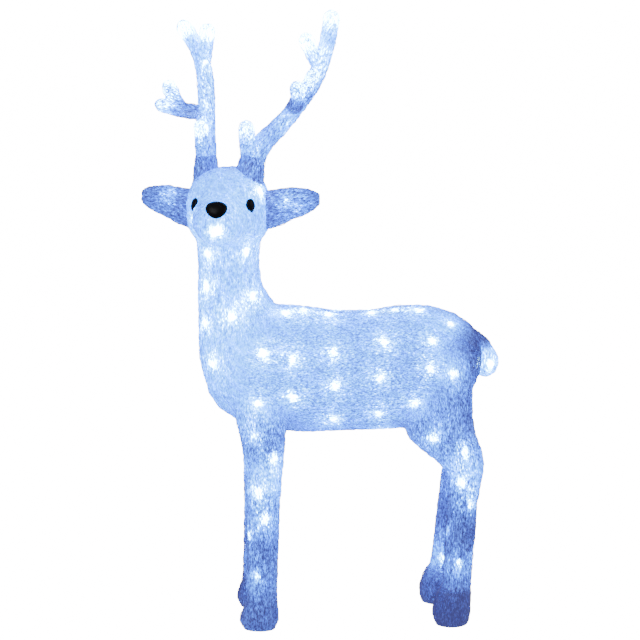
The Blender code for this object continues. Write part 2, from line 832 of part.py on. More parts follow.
TORSO_LAMP_ROWS = (
    (0.500, 0.82, (-0.060, 0.011, 0.082, 0.159, 0.209)),
    (0.462, 0.36, (0.178, 0.098, 0.015, -0.052, -0.100)),
    (0.415, -0.02, (-0.160, 0.017, 0.090, 0.171, 0.214)),
    (0.376, -0.42, (0.150, -0.050, -0.107)),
    (0.346, -0.90, (0.017, 0.090)),
)
NECK_LAMPS = (
    (0.502, 200), (0.515, 285), (0.548, 345), (0.564, 215), (0.580, 100), (0.600, 320), (0.617, 235), (0.622, 40),
)
HEAD_LAMPS = ((0.655, 4), (0.664, -52), (0.690, -122), (0.690, 180), (0.690, 125), (0.668, 62))
FRONT_LEG_LAMPS = (
    (0.326, 200), (0.290, 330), (0.262, 110), (0.232, 235), (0.191, 300), (0.160, 80), (0.128, 190), (0.094, 245),
)
HIND_LEG_LAMPS = (
    (0.296, 300), (0.266, 60), (0.240, 290), (0.206, 330), (0.180, 110), (0.150, 220), (0.110, 280), (0.085, 60),
)


def torso_lamps(tree, side):
    spots = []
    for z, tilt, row in TORSO_LAMP_ROWS:
        for x in row:
            spots.append((Vector((x, side * 0.012, 0.425 + (z - 0.425) * 0.4)), Vector((0.0, side, tilt))))
    return wall_spots(tree, spots)


def round_lamps(tree, lamps, centre_x, centre_y):
    """Lamps around an upright stretch, as (height, direction in degrees seen from above)."""
    spots = []
    for z, angle in lamps:
        turn = radians(angle)
        spots.append((Vector((centre_x, centre_y, z)), Vector((cos(turn), sin(turn), 0.0))))
    return wall_spots(tree, spots)


def antler_lamps(layout):
    """The lamp runs of one antler by name: one along the beam, and a short one in each branch."""
    line, _ = smooth_line(*layout["beam"])
    runs = {"beam": [line[k] for k in range(4, len(line), 4)]}
    for branch in ("brow_tine", "mid_branch", "upper_tine"):
        points = [Vector(point) for point in layout[branch][0]]
        start = points[0].lerp(points[1], 0.30)
        runs[branch] = [start] + points[1:]
    _, bend, tip = [Vector(point) for point in layout["mid_branch_fork"][0]]
    runs["mid_branch_fork"] = [bend.lerp(tip, 0.05), bend.lerp(tip, 0.80)]
    return runs


def ear_lamps(side):
    return [head_point(side * out, 0.0, z) for out, z in ((0.052, 0.686), (0.084, 0.689), (0.112, 0.697))]


TAIL_LAMPS = [Vector((0.240, 0.0, 0.434)), Vector((0.262, 0.0, 0.434)), Vector((0.277, 0.0, 0.432))]


# ---------------------------------------------------------------- cord gland


def gland_mesh(place, outward):
    """A bushing through the shell with a flange outside. The cord's hole goes right through it."""
    profile = [
        (GLAND_BORE, -BODY_WALL - 0.003),
        (GLAND_RADIUS, -BODY_WALL - 0.003),
        (GLAND_RADIUS, GLAND_STANDOFF),
        (GLAND_FLANGE_RADIUS, GLAND_STANDOFF),
        (GLAND_FLANGE_RADIUS - 0.0008, GLAND_STANDOFF + GLAND_FLANGE),
        (GLAND_BORE, GLAND_STANDOFF + GLAND_FLANGE),
    ]
    return spun(place, outward, profile, 16)


# ---------------------------------------------------------------- assembly


def finish(name, mesh, shade, smooth=True):
    """Names the object, moves its origin to the middle of its box and shades it."""
    mesh = main_body(mesh)
    mesh.transform(Matrix.Translation(CENTRING))
    corners = [point.co for point in mesh.vertices]
    low = Vector([min(point[k] for point in corners) for k in range(3)])
    high = Vector([max(point[k] for point in corners) for k in range(3)])
    middle = (low + high) / 2
    mesh.transform(Matrix.Translation(-middle))
    mesh.name = name
    made = new_object(name, mesh, shade)
    for face in mesh.polygons:
        face.material_index = 0
    made.location = middle
    if smooth:
        mesh.shade_smooth()
        mesh.set_sharp_from_angle(angle=radians(40.0))
    return made


def surface_tree(mesh):
    points = [point.co for point in mesh.vertices]
    return BVHTree.FromPolygons(points, [tuple(face.vertices) for face in mesh.polygons])


def build_antler(name, layout, head_solid):
    """All the pieces of one antler, parented to an empty that lies on its plug's axis."""
    moving = []
    for piece, mesh in antler_nodes(name, layout, head_solid).items():
        shade = dark_thread_material() if "collar" in piece else thread_shell_material()
        moving.append(finish(piece, mesh, shade))
    moving.append(finish("antler_spigot_" + name, spigot_mesh(layout), socket_material()))
    for run, points in antler_lamps(layout).items():
        lamps = range(len(points)) if run == "beam" else range(1, len(points))
        string = light_string(points, lamps)
        moving.append(finish("lights_%s_%s" % (run, name), string, light_material(), False))
    slide = bpy.data.objects.new("antler_slide_" + name, None)
    bpy.context.scene.collection.objects.link(slide)
    slide.location = plug_seat(layout) + CENTRING
    slide.rotation_euler = plug_axis(layout).to_track_quat("Z", "Y").to_euler()
    bpy.context.view_layer.update()
    for piece in moving:
        piece.parent = slide
        piece.matrix_parent_inverse = slide.matrix_world.inverted()


def build_body_lights(inner):
    tree = surface_tree(inner)
    shade = light_material()
    for name, side in (("left", -1.0), ("right", 1.0)):
        runs = {
            "torso": torso_lamps(tree, side),
            "leg_front": round_lamps(tree, FRONT_LEG_LAMPS, -0.100, side * FRONT_LEG_OFFSET_Y),
            "leg_hind": round_lamps(tree, HIND_LEG_LAMPS, 0.226, side * HIND_LEG_OFFSET_Y),
        }
        for run, points in runs.items():
            finish("lights_%s_%s" % (run, name), light_string(points, range(len(points))), shade, False)
        finish("lights_ear_" + name, light_string(ear_lamps(-side), (1, 2)), shade, False)
    points = round_lamps(tree, NECK_LAMPS, -0.148, 0.0)
    finish("lights_neck", light_string(points, range(len(points))), shade, False)
    spots = []
    for z, angle in HEAD_LAMPS:
        turn = radians(angle)
        spots.append((head_point(0.0, 0.0, z), LEFT * sin(turn) + FORWARD * cos(turn)))
    points = wall_spots(tree, spots)
    finish("lights_head", light_string(points, range(len(points))), shade, False)
    finish("lights_tail", light_string(TAIL_LAMPS, (2,)), shade, False)


def build():
    clear_scene()
    outer, inner = body_skins()
    layouts = {"left": antler_layout("left"), "right": antler_layout("right")}
    nodes = body_nodes(combined(outer, inner, "DIFFERENCE"))

    for name, (place, outward, wide, tall, stem) in face_buttons(outer).items():
        finish(name, button(place, outward, wide, tall, stem), glossy_black_material())
        pocket = button(place, outward, wide, tall, stem, SEAM)
        nodes["head_shell"] = combined(nodes["head_shell"], pocket, "DIFFERENCE")
    for layout in layouts.values():
        nodes["head_shell"] = combined(nodes["head_shell"], socket_hole(layout), "DIFFERENCE")
    for side in (1.0, -1.0):
        ends = [head_point(side * out, 0.0, z) for out, z in EAR_HOLE]
        hole = rod(*ends, WIRE_HOLE_RADIUS)
        nodes["head_shell"] = combined(nodes["head_shell"], hole, "DIFFERENCE")

    leg_middle = Vector((0.220, HIND_LEG_OFFSET_Y, GLAND_Z))
    outward = Vector((1.0, 0.0, 0.0))
    place = surface_tree(outer).ray_cast(leg_middle, outward)[0]
    hole = rod(leg_middle, place + outward * 0.01, GLAND_RADIUS + SEAM)
    nodes["leg_hind_right"] = combined(nodes["leg_hind_right"], hole, "DIFFERENCE")
    finish("cord_gland", gland_mesh(place, outward), gland_material())

    for name, mesh in nodes.items():
        shade = dark_thread_material() if name.startswith("hoof") else thread_shell_material()
        finish(name, mesh, shade)
    finish("ear_left", ear_mesh(1.0, outer), thread_shell_material())
    finish("ear_right", ear_mesh(-1.0, outer), thread_shell_material())
    finish("tail_shell", tail_mesh(outer), thread_shell_material())
    for name, layout in layouts.items():
        finish("antler_socket_" + name, socket_mesh(layout), socket_material())
        build_antler(name, layout, outer)
    build_body_lights(inner)


build()
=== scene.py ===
"""Light-up yard reindeer: shells of fused clear threads with lamps glowing through them.

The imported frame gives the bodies. Each thread shell is built again at a finer scale on the same sections as
the frame's, cut at the same seams, and covered with real threads that follow the animal's shape.
"""
import random
from math import cos, exp, pi, radians, sin

import bmesh
import bpy
import numpy as np
from mathutils import Matrix, Vector, noise
from mathutils.bvhtree import BVHTree


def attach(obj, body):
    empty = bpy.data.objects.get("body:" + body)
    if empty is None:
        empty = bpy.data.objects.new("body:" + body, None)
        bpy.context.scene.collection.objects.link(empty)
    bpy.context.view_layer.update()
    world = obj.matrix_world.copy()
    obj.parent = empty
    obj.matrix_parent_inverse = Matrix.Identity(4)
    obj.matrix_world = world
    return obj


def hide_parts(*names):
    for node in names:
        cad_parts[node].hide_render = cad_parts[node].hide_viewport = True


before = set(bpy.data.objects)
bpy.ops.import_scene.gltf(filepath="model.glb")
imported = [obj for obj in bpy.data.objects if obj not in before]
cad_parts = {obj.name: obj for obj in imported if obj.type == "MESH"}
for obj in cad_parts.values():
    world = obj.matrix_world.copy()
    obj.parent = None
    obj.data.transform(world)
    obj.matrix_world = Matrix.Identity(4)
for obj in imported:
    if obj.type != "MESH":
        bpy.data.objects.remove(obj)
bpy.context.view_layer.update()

# Sections are drawn about the animal's own middle plane and moved by this to the frame's middle
CENTRING = Vector((-0.0025, 0.0071145, 0.0))
UP = Vector((0.0, 0.0, 1.0))

SEAM = 0.0004
BODY_WALL = 0.005
ANTLER_WALL = 0.0028
SOFT_WALL = 0.0025
BODY_VOXEL = 0.003
ANTLER_VOXEL = 0.0016
EAR_VOXEL = 0.0016
SEAT_GAP = 0.0005
BODY_SMOOTHING = 25
SMALL_SMOOTHING = 8
SHARP_ANGLE = radians(40)
LUMP_HEIGHT = 0.0011
LUMP_FREQUENCY = 95.0

# Threads: radius, how far they stand off the skin, the length of a step along them, and their own tones
BODY_THREAD_RADIUS = 0.00048
SMALL_THREAD_RADIUS = 0.00045
THREAD_LIFT = 0.0008
THREAD_STEP = 0.0035
THREAD_TONES = (-0.09, 0.10)
TAIL_THREAD_TONES = (-0.06, 0.06)
# Threads on each piece of the body, as (count, length, spread of direction)
BODY_THREADS = {"head": (700, 0.030, 0.55), "neck": (520, 0.045, 0.30), "torso": (1150, 0.060, 0.30),
                "leg": (420, 0.050, 0.22), "hoof": (130, 0.030, 0.4)}
ANTLER_THREADS = {"beam": 380, "collar": 110, "mid_branch": 240}

NECK_TOP_Z = 0.632
LEG_TOP_Z = 0.312
HOOF_TOP_Z = {"front": 0.040, "hind": 0.060}
NECK_ROOT = Vector((-0.1375, 0.0, 0.4925))
NECK_LEAN = Vector((-0.514, 0.0, 0.857))
BELOW_FLOOR = 0.020

FRONT_LEG_OFFSET_Y = 0.063
HIND_LEG_OFFSET_Y = 0.064
RIGHT_HIND_LEAN = 0.055
RIGHT_HIND_LEAN_TOP_Z = 0.240
RIGHT_HIND_LEAN_MIDDLE_Z = 0.135

HEAD_CENTRE = Vector((-0.150, 0.0, 0.0))
HEAD_TURN = radians(14.5)
FORWARD = Vector((-sin(HEAD_TURN), -cos(HEAD_TURN), 0.0))
LEFT = Vector((cos(HEAD_TURN), -sin(HEAD_TURN), 0.0))

EYE_ANGLES = {"eye_left": radians(51.0), "eye_right": radians(-46.5)}
EYE_Z = 0.6965
EYE_HALF_SIZES = (0.0086, 0.0112, 0.0052)
NOSE_Z = 0.6765
NOSE_HALF_SIZES = (0.0172, 0.0146, 0.0062)
NOSE_TAPER = 0.20
BLACK_SPECULAR = 0.15

SPIGOT_RADIUS = 0.0070
SPIGOT_BORE = 0.0050
SPIGOT_DEPTH = 0.030
SOCKET_RADIUS = 0.0100
SOCKET_CLEARANCE = 0.0004
SOCKET_FLOOR_HOLE = 0.0035
COLLAR_LENGTH = 0.030

CAMERA_AZIMUTH = radians(-4.25)
CAMERA_DISTANCE = 3.5
CAMERA_HEIGHT = 1.1
CAMERA_TARGET = Vector((-0.0012, 0.0, 0.5005))
CAMERA_LENS = 122.0
FLOOR_REACH = 30.0
# Soft lights as (place, power, size)
SOFT_LIGHTS = (((-1.6, -2.2, 2.4), 22.0, 1.6), ((2.2, -1.2, 1.6), 10.0, 1.8), ((0.6, 2.4, 2.2), 12.0, 1.6))


# ---------------------------------------------------------------- mesh tools


def opened(mesh):
    build = bmesh.new()
    build.from_mesh(mesh)
    return build


def closed(build, mesh=None):
    """Writes an edit mesh into a mesh, a new one if none is given, and frees it."""
    mesh = mesh or bpy.data.meshes.new("shape")
    build.to_mesh(mesh)
    build.free()
    return mesh


def everything(build):
    return list(build.verts) + list(build.edges) + list(build.faces)


def new_object(name, mesh):
    made = bpy.data.objects.new(name, mesh)
    bpy.context.scene.collection.objects.link(made)
    return made


def side_axes(direction):
    """Two unit vectors across a direction."""
    helper = UP if abs(direction.z) < 0.9 else Vector((1.0, 0.0, 0.0))
    side = direction.cross(helper).normalized()
    return side, direction.cross(side).normalized()


def faced(build, rows, hubs):
    """Faces between closed rows of points, and a fan from a hub at each end."""
    faces = []
    for low, high in zip(rows, rows[1:]):
        for k in range(len(low)):
            after = (k + 1) % len(low)
            faces.append(build.faces.new((low[k], low[after], high[after], high[k])))
    for row, hub in zip((rows[0], rows[-1]), hubs):
        middle = build.verts.new(hub)
        for k in range(len(row)):
            faces.append(build.faces.new((middle, row[k], row[(k + 1) % len(row)])))
    bmesh.ops.recalc_face_normals(build, faces=faces)


def loft(build, rings, sides):
    rows = []
    for centre, side, rise in rings:
        angles = [2.0 * pi * k / sides for k in range(sides)]
        rows.append([build.verts.new(centre + side * cos(a) + rise * sin(a)) for a in angles])
    faced(build, rows, (rings[0][0], rings[-1][0]))


def lofted(ring_sets, sides):
    build = bmesh.new()
    for rings in ring_sets:
        loft(build, rings, sides)
    return closed(build)


def line_frames(points):
    """A frame (point, side, rise, ahead) at each point, turned as little as possible along the line."""
    last = len(points) - 1
    side = None
    frames = []
    for k, point in enumerate(points):
        ahead = (points[min(k + 1, last)] - points[max(k - 1, 0)]).normalized()
        if side is None:
            side = side_axes(ahead)[0]
        side = (side - ahead * side.dot(ahead)).normalized()
        frames.append((point, side, ahead.cross(side), ahead))
    return frames


def tube_rings(points, radii):
    """Rings along a line of points, with domed ends."""
    frames = line_frames(points)
    made = [(point, side * r, rise * r) for (point, side, rise, _), r in zip(frames, radii)]
    return dome(frames[0], radii[0], -1.0) + made + dome(frames[-1], radii[-1], 1.0)


def dome(spot, radius, sense):
    point, side, rise, ahead = spot
    made = []
    for angle in (30.0, 60.0, 80.0):
        reach = radius * sin(radians(angle)) * sense
        width = radius * cos(radians(angle))
        made.append((point + ahead * reach, side * width, rise * width))
    return made if sense > 0 else made[::-1]


def evaluated(made):
    """The object's mesh with its modifiers applied. The object itself is removed."""
    graph = bpy.context.evaluated_depsgraph_get()
    graph.update()
    mesh = bpy.data.meshes.new_from_object(made.evaluated_get(graph))
    bpy.data.objects.remove(made, do_unlink=True)
    return mesh


def skin(ring_sets, voxel, smoothing, sides=32):
    """One smooth closed skin around overlapping lofts."""
    made = new_object("skin", lofted(ring_sets, sides))
    remesh = made.modifiers.new("join", "REMESH")
    remesh.mode = "VOXEL"
    remesh.voxel_size = voxel
    smooth = made.modifiers.new("blend", "SMOOTH")
    smooth.factor = 0.5
    smooth.iterations = smoothing
    return knobbly(evaluated(made))


def knobbly(mesh):
    """Fused thread isn't smooth: small lumps raise the skin here and there."""
    points = point_array(mesh)
    normals = point_array(mesh, "normal")
    lumps = np.empty(len(points))
    for k, place in enumerate(points):
        spot = Vector(place) * LUMP_FREQUENCY
        lumps[k] = noise.noise(spot) + 0.5 * noise.noise(spot * 2.3)
    points = points + normals * (lumps * LUMP_HEIGHT)[:, None]
    mesh.vertices.foreach_set("co", points.ravel())
    mesh.update()
    return mesh


def trimmed(mesh, *planes):
    """The part of a mesh on the normal's side of every plane (point, normal), open at the cuts."""
    build = opened(mesh)
    for point, normal in planes:
        normal = Vector(normal).normalized()
        place = Vector(point) + normal * (SEAM / 2)
        geometry = everything(build)
        bmesh.ops.bisect_plane(build, geom=geometry, plane_co=place, plane_no=normal, clear_inner=True)
    return closed(build)


def soled(mesh):
    """The mesh cut flat at the floor and closed there."""
    build = opened(mesh)
    geometry = everything(build)
    cut = bmesh.ops.bisect_plane(build, geom=geometry, plane_co=Vector(), plane_no=UP, clear_inner=True)
    edges = [item for item in cut["geom_cut"] if isinstance(item, bmesh.types.BMEdge)]
    bmesh.ops.holes_fill(build, edges=edges, sides=0)
    caps = [face for face in build.faces if len(face.verts) > 4]
    bmesh.ops.triangulate(build, faces=caps)
    bmesh.ops.recalc_face_normals(build, faces=build.faces)
    return closed(build)


def shelled(mesh, wall):
    """A closed shell of even thickness under an open skin."""
    made = new_object("shell", mesh.copy())
    thick = made.modifiers.new("wall", "SOLIDIFY")
    thick.thickness = wall
    thick.offset = -1.0
    thick.use_rim = True
    return evaluated(made)


def point_array(mesh, name="co"):
    """The mesh's points, or another of their vectors, as rows of an array."""
    values = np.empty(len(mesh.vertices) * 3)
    mesh.vertices.foreach_get(name, values)
    return values.reshape(-1, 3)


def surface_tree(mesh):
    points = [point.co for point in mesh.vertices]
    return BVHTree.FromPolygons(points, [tuple(face.vertices) for face in mesh.polygons])


def seated(mesh, tree):
    """An open skin that ends on another surface: what lies inside it goes, and its edge is fitted there."""
    build = opened(mesh)
    inside = {}
    for point in build.verts:
        place, normal, _, _ = tree.find_nearest(point.co)
        gap = (point.co - place).dot(normal)
        if gap < SEAT_GAP:
            inside[point] = place + normal * SEAT_GAP
    gone = [face for face in build.faces if all(point in inside for point in face.verts)]
    bmesh.ops.delete(build, geom=gone, context="FACES")
    for point, place in inside.items():
        if point.is_valid:
            point.co = place
    loose = [point for point in build.verts if not point.link_faces]
    bmesh.ops.delete(build, geom=loose, context="VERTS")
    return largest(closed(build))


def connected(start, neighbours):
    """All that can be reached from the start, from neighbour to neighbour."""
    group = {start}
    front = [start]
    while front:
        for other in neighbours(front.pop()):
            if other not in group:
                group.add(other)
                front.append(other)
    return group


def largest(mesh):
    """The mesh without its smaller loose parts."""
    build = opened(mesh)
    left = set(build.verts)
    groups = []
    while left:
        group = connected(next(iter(left)),
                          lambda point: (edge.other_vert(point) for edge in point.link_edges))
        left -= group
        groups.append(group)
    groups.sort(key=len)
    for group in groups[:-1]:
        bmesh.ops.delete(build, geom=list(group), context="VERTS")
    return closed(build, mesh)


def parted(mesh, point, normal, tip, reach):
    """Splits an open skin at a plane: the connected part beyond it that holds the tip, within reach of the
    plane's axis, and the rest."""
    build = opened(mesh)
    normal = Vector(normal).normalized()
    bmesh.ops.bisect_plane(build, geom=everything(build), plane_co=point, plane_no=normal)
    build.faces.ensure_lookup_table()
    beyond = set()
    for face in build.faces:
        away = face.calc_center_median() - point
        height = away.dot(normal)
        if height > 0 and (away - normal * height).length < reach:
            beyond.add(face)
    start = min(beyond, key=lambda face: (face.calc_center_median() - tip).length)
    group = connected(start, lambda face: beyond.intersection(
        other for edge in face.edges for other in edge.link_faces))
    build.faces.index_update()
    marks = {face.index for face in group}
    split = closed(build)
    parts = []
    for keep in (True, False):
        copy = opened(split)
        gone = [face for face in copy.faces if (face.index in marks) != keep]
        bmesh.ops.delete(copy, geom=gone, context="FACES")
        parts.append(closed(copy))
    return parts


def spun(base, axis, profile, sides=48):
    """A ring-shaped body: a closed outline of (radius, height) turned about an axis."""
    side, rise = side_axes(axis)
    build = bmesh.new()
    rows = []
    for k in range(sides):
        angle = 2.0 * pi * k / sides
        out = side * cos(angle) + rise * sin(angle)
        rows.append([build.verts.new(base + out * radius + axis * height) for radius, height in profile])
    count = len(profile)
    for k in range(sides):
        row = rows[k]
        after = rows[(k + 1) % sides]
        for j in range(count):
            nxt = (j + 1) % count
            build.faces.new((row[j], row[nxt], after[nxt], after[j]))
    bmesh.ops.recalc_face_normals(build, faces=build.faces)
    return closed(build)


def head_point(left, ahead, height):
    return HEAD_CENTRE + LEFT * left + FORWARD * ahead + UP * height


# ---------------------------------------------------------------- sections of the body


def torso_rings():
    sections = [
        (-0.185, 0.431, 0.047, 0.036),
        (-0.166, 0.429, 0.073, 0.057),
        (-0.130, 0.427, 0.094, 0.074),
        (-0.080, 0.424, 0.104, 0.082),
        (-0.030, 0.420, 0.104, 0.085),
        (0.030, 0.416, 0.099, 0.085),
        (0.080, 0.417, 0.099, 0.086),
        (0.130, 0.421, 0.102, 0.086),
        (0.180, 0.424, 0.098, 0.083),
        (0.220, 0.426, 0.083, 0.073),
        (0.246, 0.434, 0.058, 0.056),
        (0.261, 0.440, 0.031, 0.031),
    ]
    return [
        (Vector((x, 0.0, z)), Vector((0.0, wide, 0.0)), Vector((0.0, 0.0, tall)))
        for x, z, tall, wide in sections
    ]


def neck_rings():
    sections = [
        (0.400, -0.117, 0.072, 0.064),
        (0.440, -0.121, 0.078, 0.067),
        (0.480, -0.123, 0.077, 0.064),
        (0.520, -0.135, 0.065, 0.056),
        (0.560, -0.148, 0.052, 0.050),
        (0.600, -0.150, 0.049, 0.047),
        (0.640, -0.150, 0.053, 0.050),
        (0.670, -0.150, 0.054, 0.052),
    ]
    return [
        (Vector((x, 0.0, z)), Vector((along, 0.0, 0.0)), Vector((0.0, wide, 0.0)))
        for z, x, along, wide in sections
    ]


def head_rings():
    sections = [
        (0.640, 0.058, 0.052),
        (0.655, 0.066, 0.060),
        (0.675, 0.068, 0.065),
        (0.695, 0.068, 0.066),
        (0.713, 0.065, 0.063),
        (0.730, 0.057, 0.054),
        (0.743, 0.043, 0.041),
        (0.752, 0.024, 0.023),
    ]
    return [(head_point(0.0, 0.0, z), LEFT * wide, FORWARD * deep) for z, wide, deep in sections]


def muzzle_rings():
    sections = [
        (0.010, 0.683, 0.060, 0.054),
        (0.045, 0.677, 0.050, 0.046),
        (0.070, 0.673, 0.042, 0.039),
        (0.090, 0.671, 0.034, 0.033),
        (0.103, 0.671, 0.024, 0.024),
        (0.109, 0.671, 0.013, 0.013),
    ]
    return [(head_point(0.0, ahead, z), LEFT * wide, UP * tall) for ahead, z, wide, tall in sections]


def front_leg_rings(side):
    return leg_rings(side, [
        (0.400, -0.100, 0.050, 0.034, 0.044),
        (0.360, -0.100, 0.045, 0.033, 0.050),
        (0.330, -0.099, 0.039, 0.032, 0.055),
        (0.300, -0.0970, 0.0340, 0.031, 0.058),
        (0.266, -0.0960, 0.0300, 0.029, 0.061),
        (0.215, -0.0980, 0.0270, 0.027),
        (0.150, -0.0990, 0.0262, 0.026),
        (0.100, -0.1005, 0.0256, 0.0255),
        (0.050, -0.102, 0.026, 0.0255),
        (0.032, -0.104, 0.030, 0.028),
        (0.014, -0.106, 0.033, 0.030),
        (0.005, -0.1055, 0.030, 0.0275),
        (0.000, -0.105, 0.0255, 0.0235),
    ], FRONT_LEG_OFFSET_Y)


def right_hind_lean(z):
    """The right hind leg leans further forward towards its hoof than the left one."""
    if z < RIGHT_HIND_LEAN_TOP_Z:
        return (z - RIGHT_HIND_LEAN_MIDDLE_Z) * RIGHT_HIND_LEAN
    return max(0.0, LEG_TOP_Z - z) * (RIGHT_HIND_LEAN_TOP_Z - RIGHT_HIND_LEAN_MIDDLE_Z) * RIGHT_HIND_LEAN / (
        LEG_TOP_Z - RIGHT_HIND_LEAN_TOP_Z)


def hind_leg_rings(side):
    sections = [
        (0.440, 0.193, 0.055, 0.036, 0.040),
        (0.385, 0.187, 0.058, 0.038, 0.046),
        (0.345, 0.185, 0.060, 0.037, 0.051),
        (0.312, 0.196, 0.056, 0.034, 0.055),
        (0.290, 0.2135, 0.0475, 0.032, 0.058),
        (0.273, 0.226, 0.038, 0.030, 0.060),
        (0.255, 0.232, 0.030, 0.028, 0.062),
        (0.235, 0.2315, 0.0260, 0.026),
        (0.205, 0.228, 0.0245, 0.0245),
        (0.160, 0.2255, 0.0245, 0.0245),
        (0.110, 0.2225, 0.0240, 0.0240),
        (0.068, 0.2200, 0.0235, 0.0240),
        (0.050, 0.2150, 0.0300, 0.0285),
        (0.026, 0.2115, 0.0325, 0.0310),
        (0.012, 0.2115, 0.0315, 0.0300),
        (0.004, 0.2115, 0.0285, 0.0270),
        (0.000, 0.2115, 0.0245, 0.0235),
    ]
    if side > 0:
        sections = [(row[0], row[1] + right_hind_lean(row[0]), *row[2:]) for row in sections]
    return leg_rings(side, sections, HIND_LEG_OFFSET_Y)


def leg_rings(side, sections, offset):
    """The leg's sections, at their own distance from the middle plane or else at the offset.

    They run on below the floor, where the sole is cut flat.
    """
    rings = []
    for z, x, along, wide, *own in sections:
        centre = Vector((x, side * (own[0] if own else offset), z))
        rings.append((centre, Vector((along, 0.0, 0.0)), Vector((0.0, wide, 0.0))))
    centre, along, wide = rings[-1]
    rings.append((centre - UP * BELOW_FLOOR, along, wide))
    return rings


def body_skin():
    sets = [torso_rings(), neck_rings(), head_rings(), muzzle_rings()]
    for side in (-1.0, 1.0):
        sets.append(front_leg_rings(side))
        sets.append(hind_leg_rings(side))
    return soled(skin(sets, BODY_VOXEL, BODY_SMOOTHING))


def body_pieces(whole):
    """The body's open skins by piece name, cut at the frame's seams."""
    pieces = {}
    pieces["head"] = trimmed(whole, ((0.0, 0.0, NECK_TOP_Z), (0, 0, 1)))
    pieces["neck"] = trimmed(whole, (NECK_ROOT, NECK_LEAN), ((0.0, 0.0, NECK_TOP_Z), (0, 0, -1)))
    trunk = trimmed(whole, (NECK_ROOT, -NECK_LEAN), ((0.0, 0.0, LEG_TOP_Z), (0, 0, 1)))
    pieces["torso_left"] = trimmed(trunk, ((0.0, 0.0, 0.0), (0, -1, 0)))
    pieces["torso_right"] = trimmed(trunk, ((0.0, 0.0, 0.0), (0, 1, 0)))
    legs = trimmed(whole, ((0.0, 0.0, LEG_TOP_Z), (0, 0, -1)))
    for end, along in (("front", -1), ("hind", 1)):
        for side_name, side in (("left", -1), ("right", 1)):
            leg = trimmed(legs, ((0.05, 0.0, 0.0), (along, 0, 0)), ((0.0, 0.0, 0.0), (0, side, 0)))
            top = (0.0, 0.0, HOOF_TOP_Z[end])
            pieces["leg_%s_%s" % (end, side_name)] = trimmed(leg, (top, (0, 0, 1)))
            pieces["hoof_%s_%s" % (end, side_name)] = trimmed(leg, (top, (0, 0, -1)))
    return pieces


# ---------------------------------------------------------------- ears, tail and antlers


def ear_rings(side):
    sections = [
        (0.045, 0.684, 0.032, 0.0165, 0.004),
        (0.062, 0.684, 0.032, 0.0165, 0.002),
        (0.085, 0.689, 0.030, 0.0160, -0.002),
        (0.105, 0.695, 0.026, 0.0140, -0.006),
        (0.125, 0.698, 0.0215, 0.0115, -0.010),
        (0.140, 0.700, 0.0150, 0.0085, -0.013),
        (0.147, 0.701, 0.0090, 0.0060, -0.014),
    ]
    return [
        (head_point(side * out, ahead, z), UP * tall, FORWARD * thick)
        for out, z, tall, thick, ahead in sections
    ]


TAIL_LINE = [Vector((0.236, 0.0, 0.474)), Vector((0.256, 0.0, 0.456)), Vector((0.2695, 0.0, 0.428))]
TAIL_RADII = [0.017, 0.022, 0.0252]

ANTLERS = {
    "left": {
        "beam": (
            [(-0.118, -0.011, 0.730), (-0.109, -0.010, 0.768), (-0.088, -0.006, 0.797),
             (-0.058, 0.000, 0.827), (-0.034, 0.005, 0.856), (-0.013, 0.010, 0.885),
             (0.001, 0.014, 0.916), (0.011, 0.017, 0.947), (0.0185, 0.018, 0.9900)],
            [0.0252, 0.0200, 0.0158, 0.0142, 0.0138, 0.0134, 0.0132, 0.0132, 0.0128],
        ),
        "brow_tine": (
            [(-0.114, -0.012, 0.760), (-0.119, -0.025, 0.790), (-0.121, -0.033, 0.818)],
            [0.0145, 0.0135, 0.0125],
        ),
        "mid_branch": (
            [(-0.046, 0.003, 0.842), (-0.042, -0.028, 0.856), (-0.040, -0.050, 0.867),
             (-0.042, -0.064, 0.883)],
            [0.0125, 0.0120, 0.0116, 0.0116],
        ),
        "mid_branch_fork": (
            [(-0.038, -0.044, 0.864), (-0.024, -0.056, 0.886), (-0.017, -0.060, 0.902)],
            [0.0112, 0.0110, 0.0106],
        ),
        "upper_tine": (
            [(0.000, 0.014, 0.913), (-0.013, 0.008, 0.936), (-0.023, 0.002, 0.955)],
            [0.0125, 0.0120, 0.0118],
        ),
    },
    "right": {
        "beam": (
            [(-0.184, 0.011, 0.730), (-0.185, 0.011, 0.768), (-0.185, 0.016, 0.797), (-0.184, 0.028, 0.828),
             (-0.183, 0.042, 0.860), (-0.184, 0.054, 0.890), (-0.189, 0.063, 0.920), (-0.201, 0.068, 0.948),
             (-0.217, 0.071, 0.9735)],
            [0.0226, 0.0178, 0.0152, 0.0144, 0.0138, 0.0134, 0.0132, 0.0128, 0.0122],
        ),
        "brow_tine": (
            [(-0.185, 0.006, 0.760), (-0.190, -0.010, 0.790), (-0.193, -0.019, 0.820)],
            [0.0132, 0.0124, 0.0114],
        ),
        "mid_branch": (
            [(-0.183, 0.034, 0.838), (-0.206, 0.026, 0.840), (-0.228, 0.018, 0.845), (-0.255, 0.010, 0.852)],
            [0.0125, 0.0124, 0.0120, 0.0112],
        ),
        "mid_branch_fork": (
            [(-0.226, 0.019, 0.846), (-0.236, 0.012, 0.865), (-0.243, 0.008, 0.881)],
            [0.0114, 0.0116, 0.0116],
        ),
        "upper_tine": (
            [(-0.187, 0.062, 0.918), (-0.183, 0.054, 0.944), (-0.180, 0.047, 0.969)],
            [0.0125, 0.0120, 0.0116],
        ),
    },
}
BRANCH_SEAM = {"brow_tine": 0.019, "mid_branch": 0.018, "upper_tine": 0.018}
BRANCH_REACH = {"brow_tine": 0.0145, "mid_branch": 0.036, "upper_tine": 0.0150}


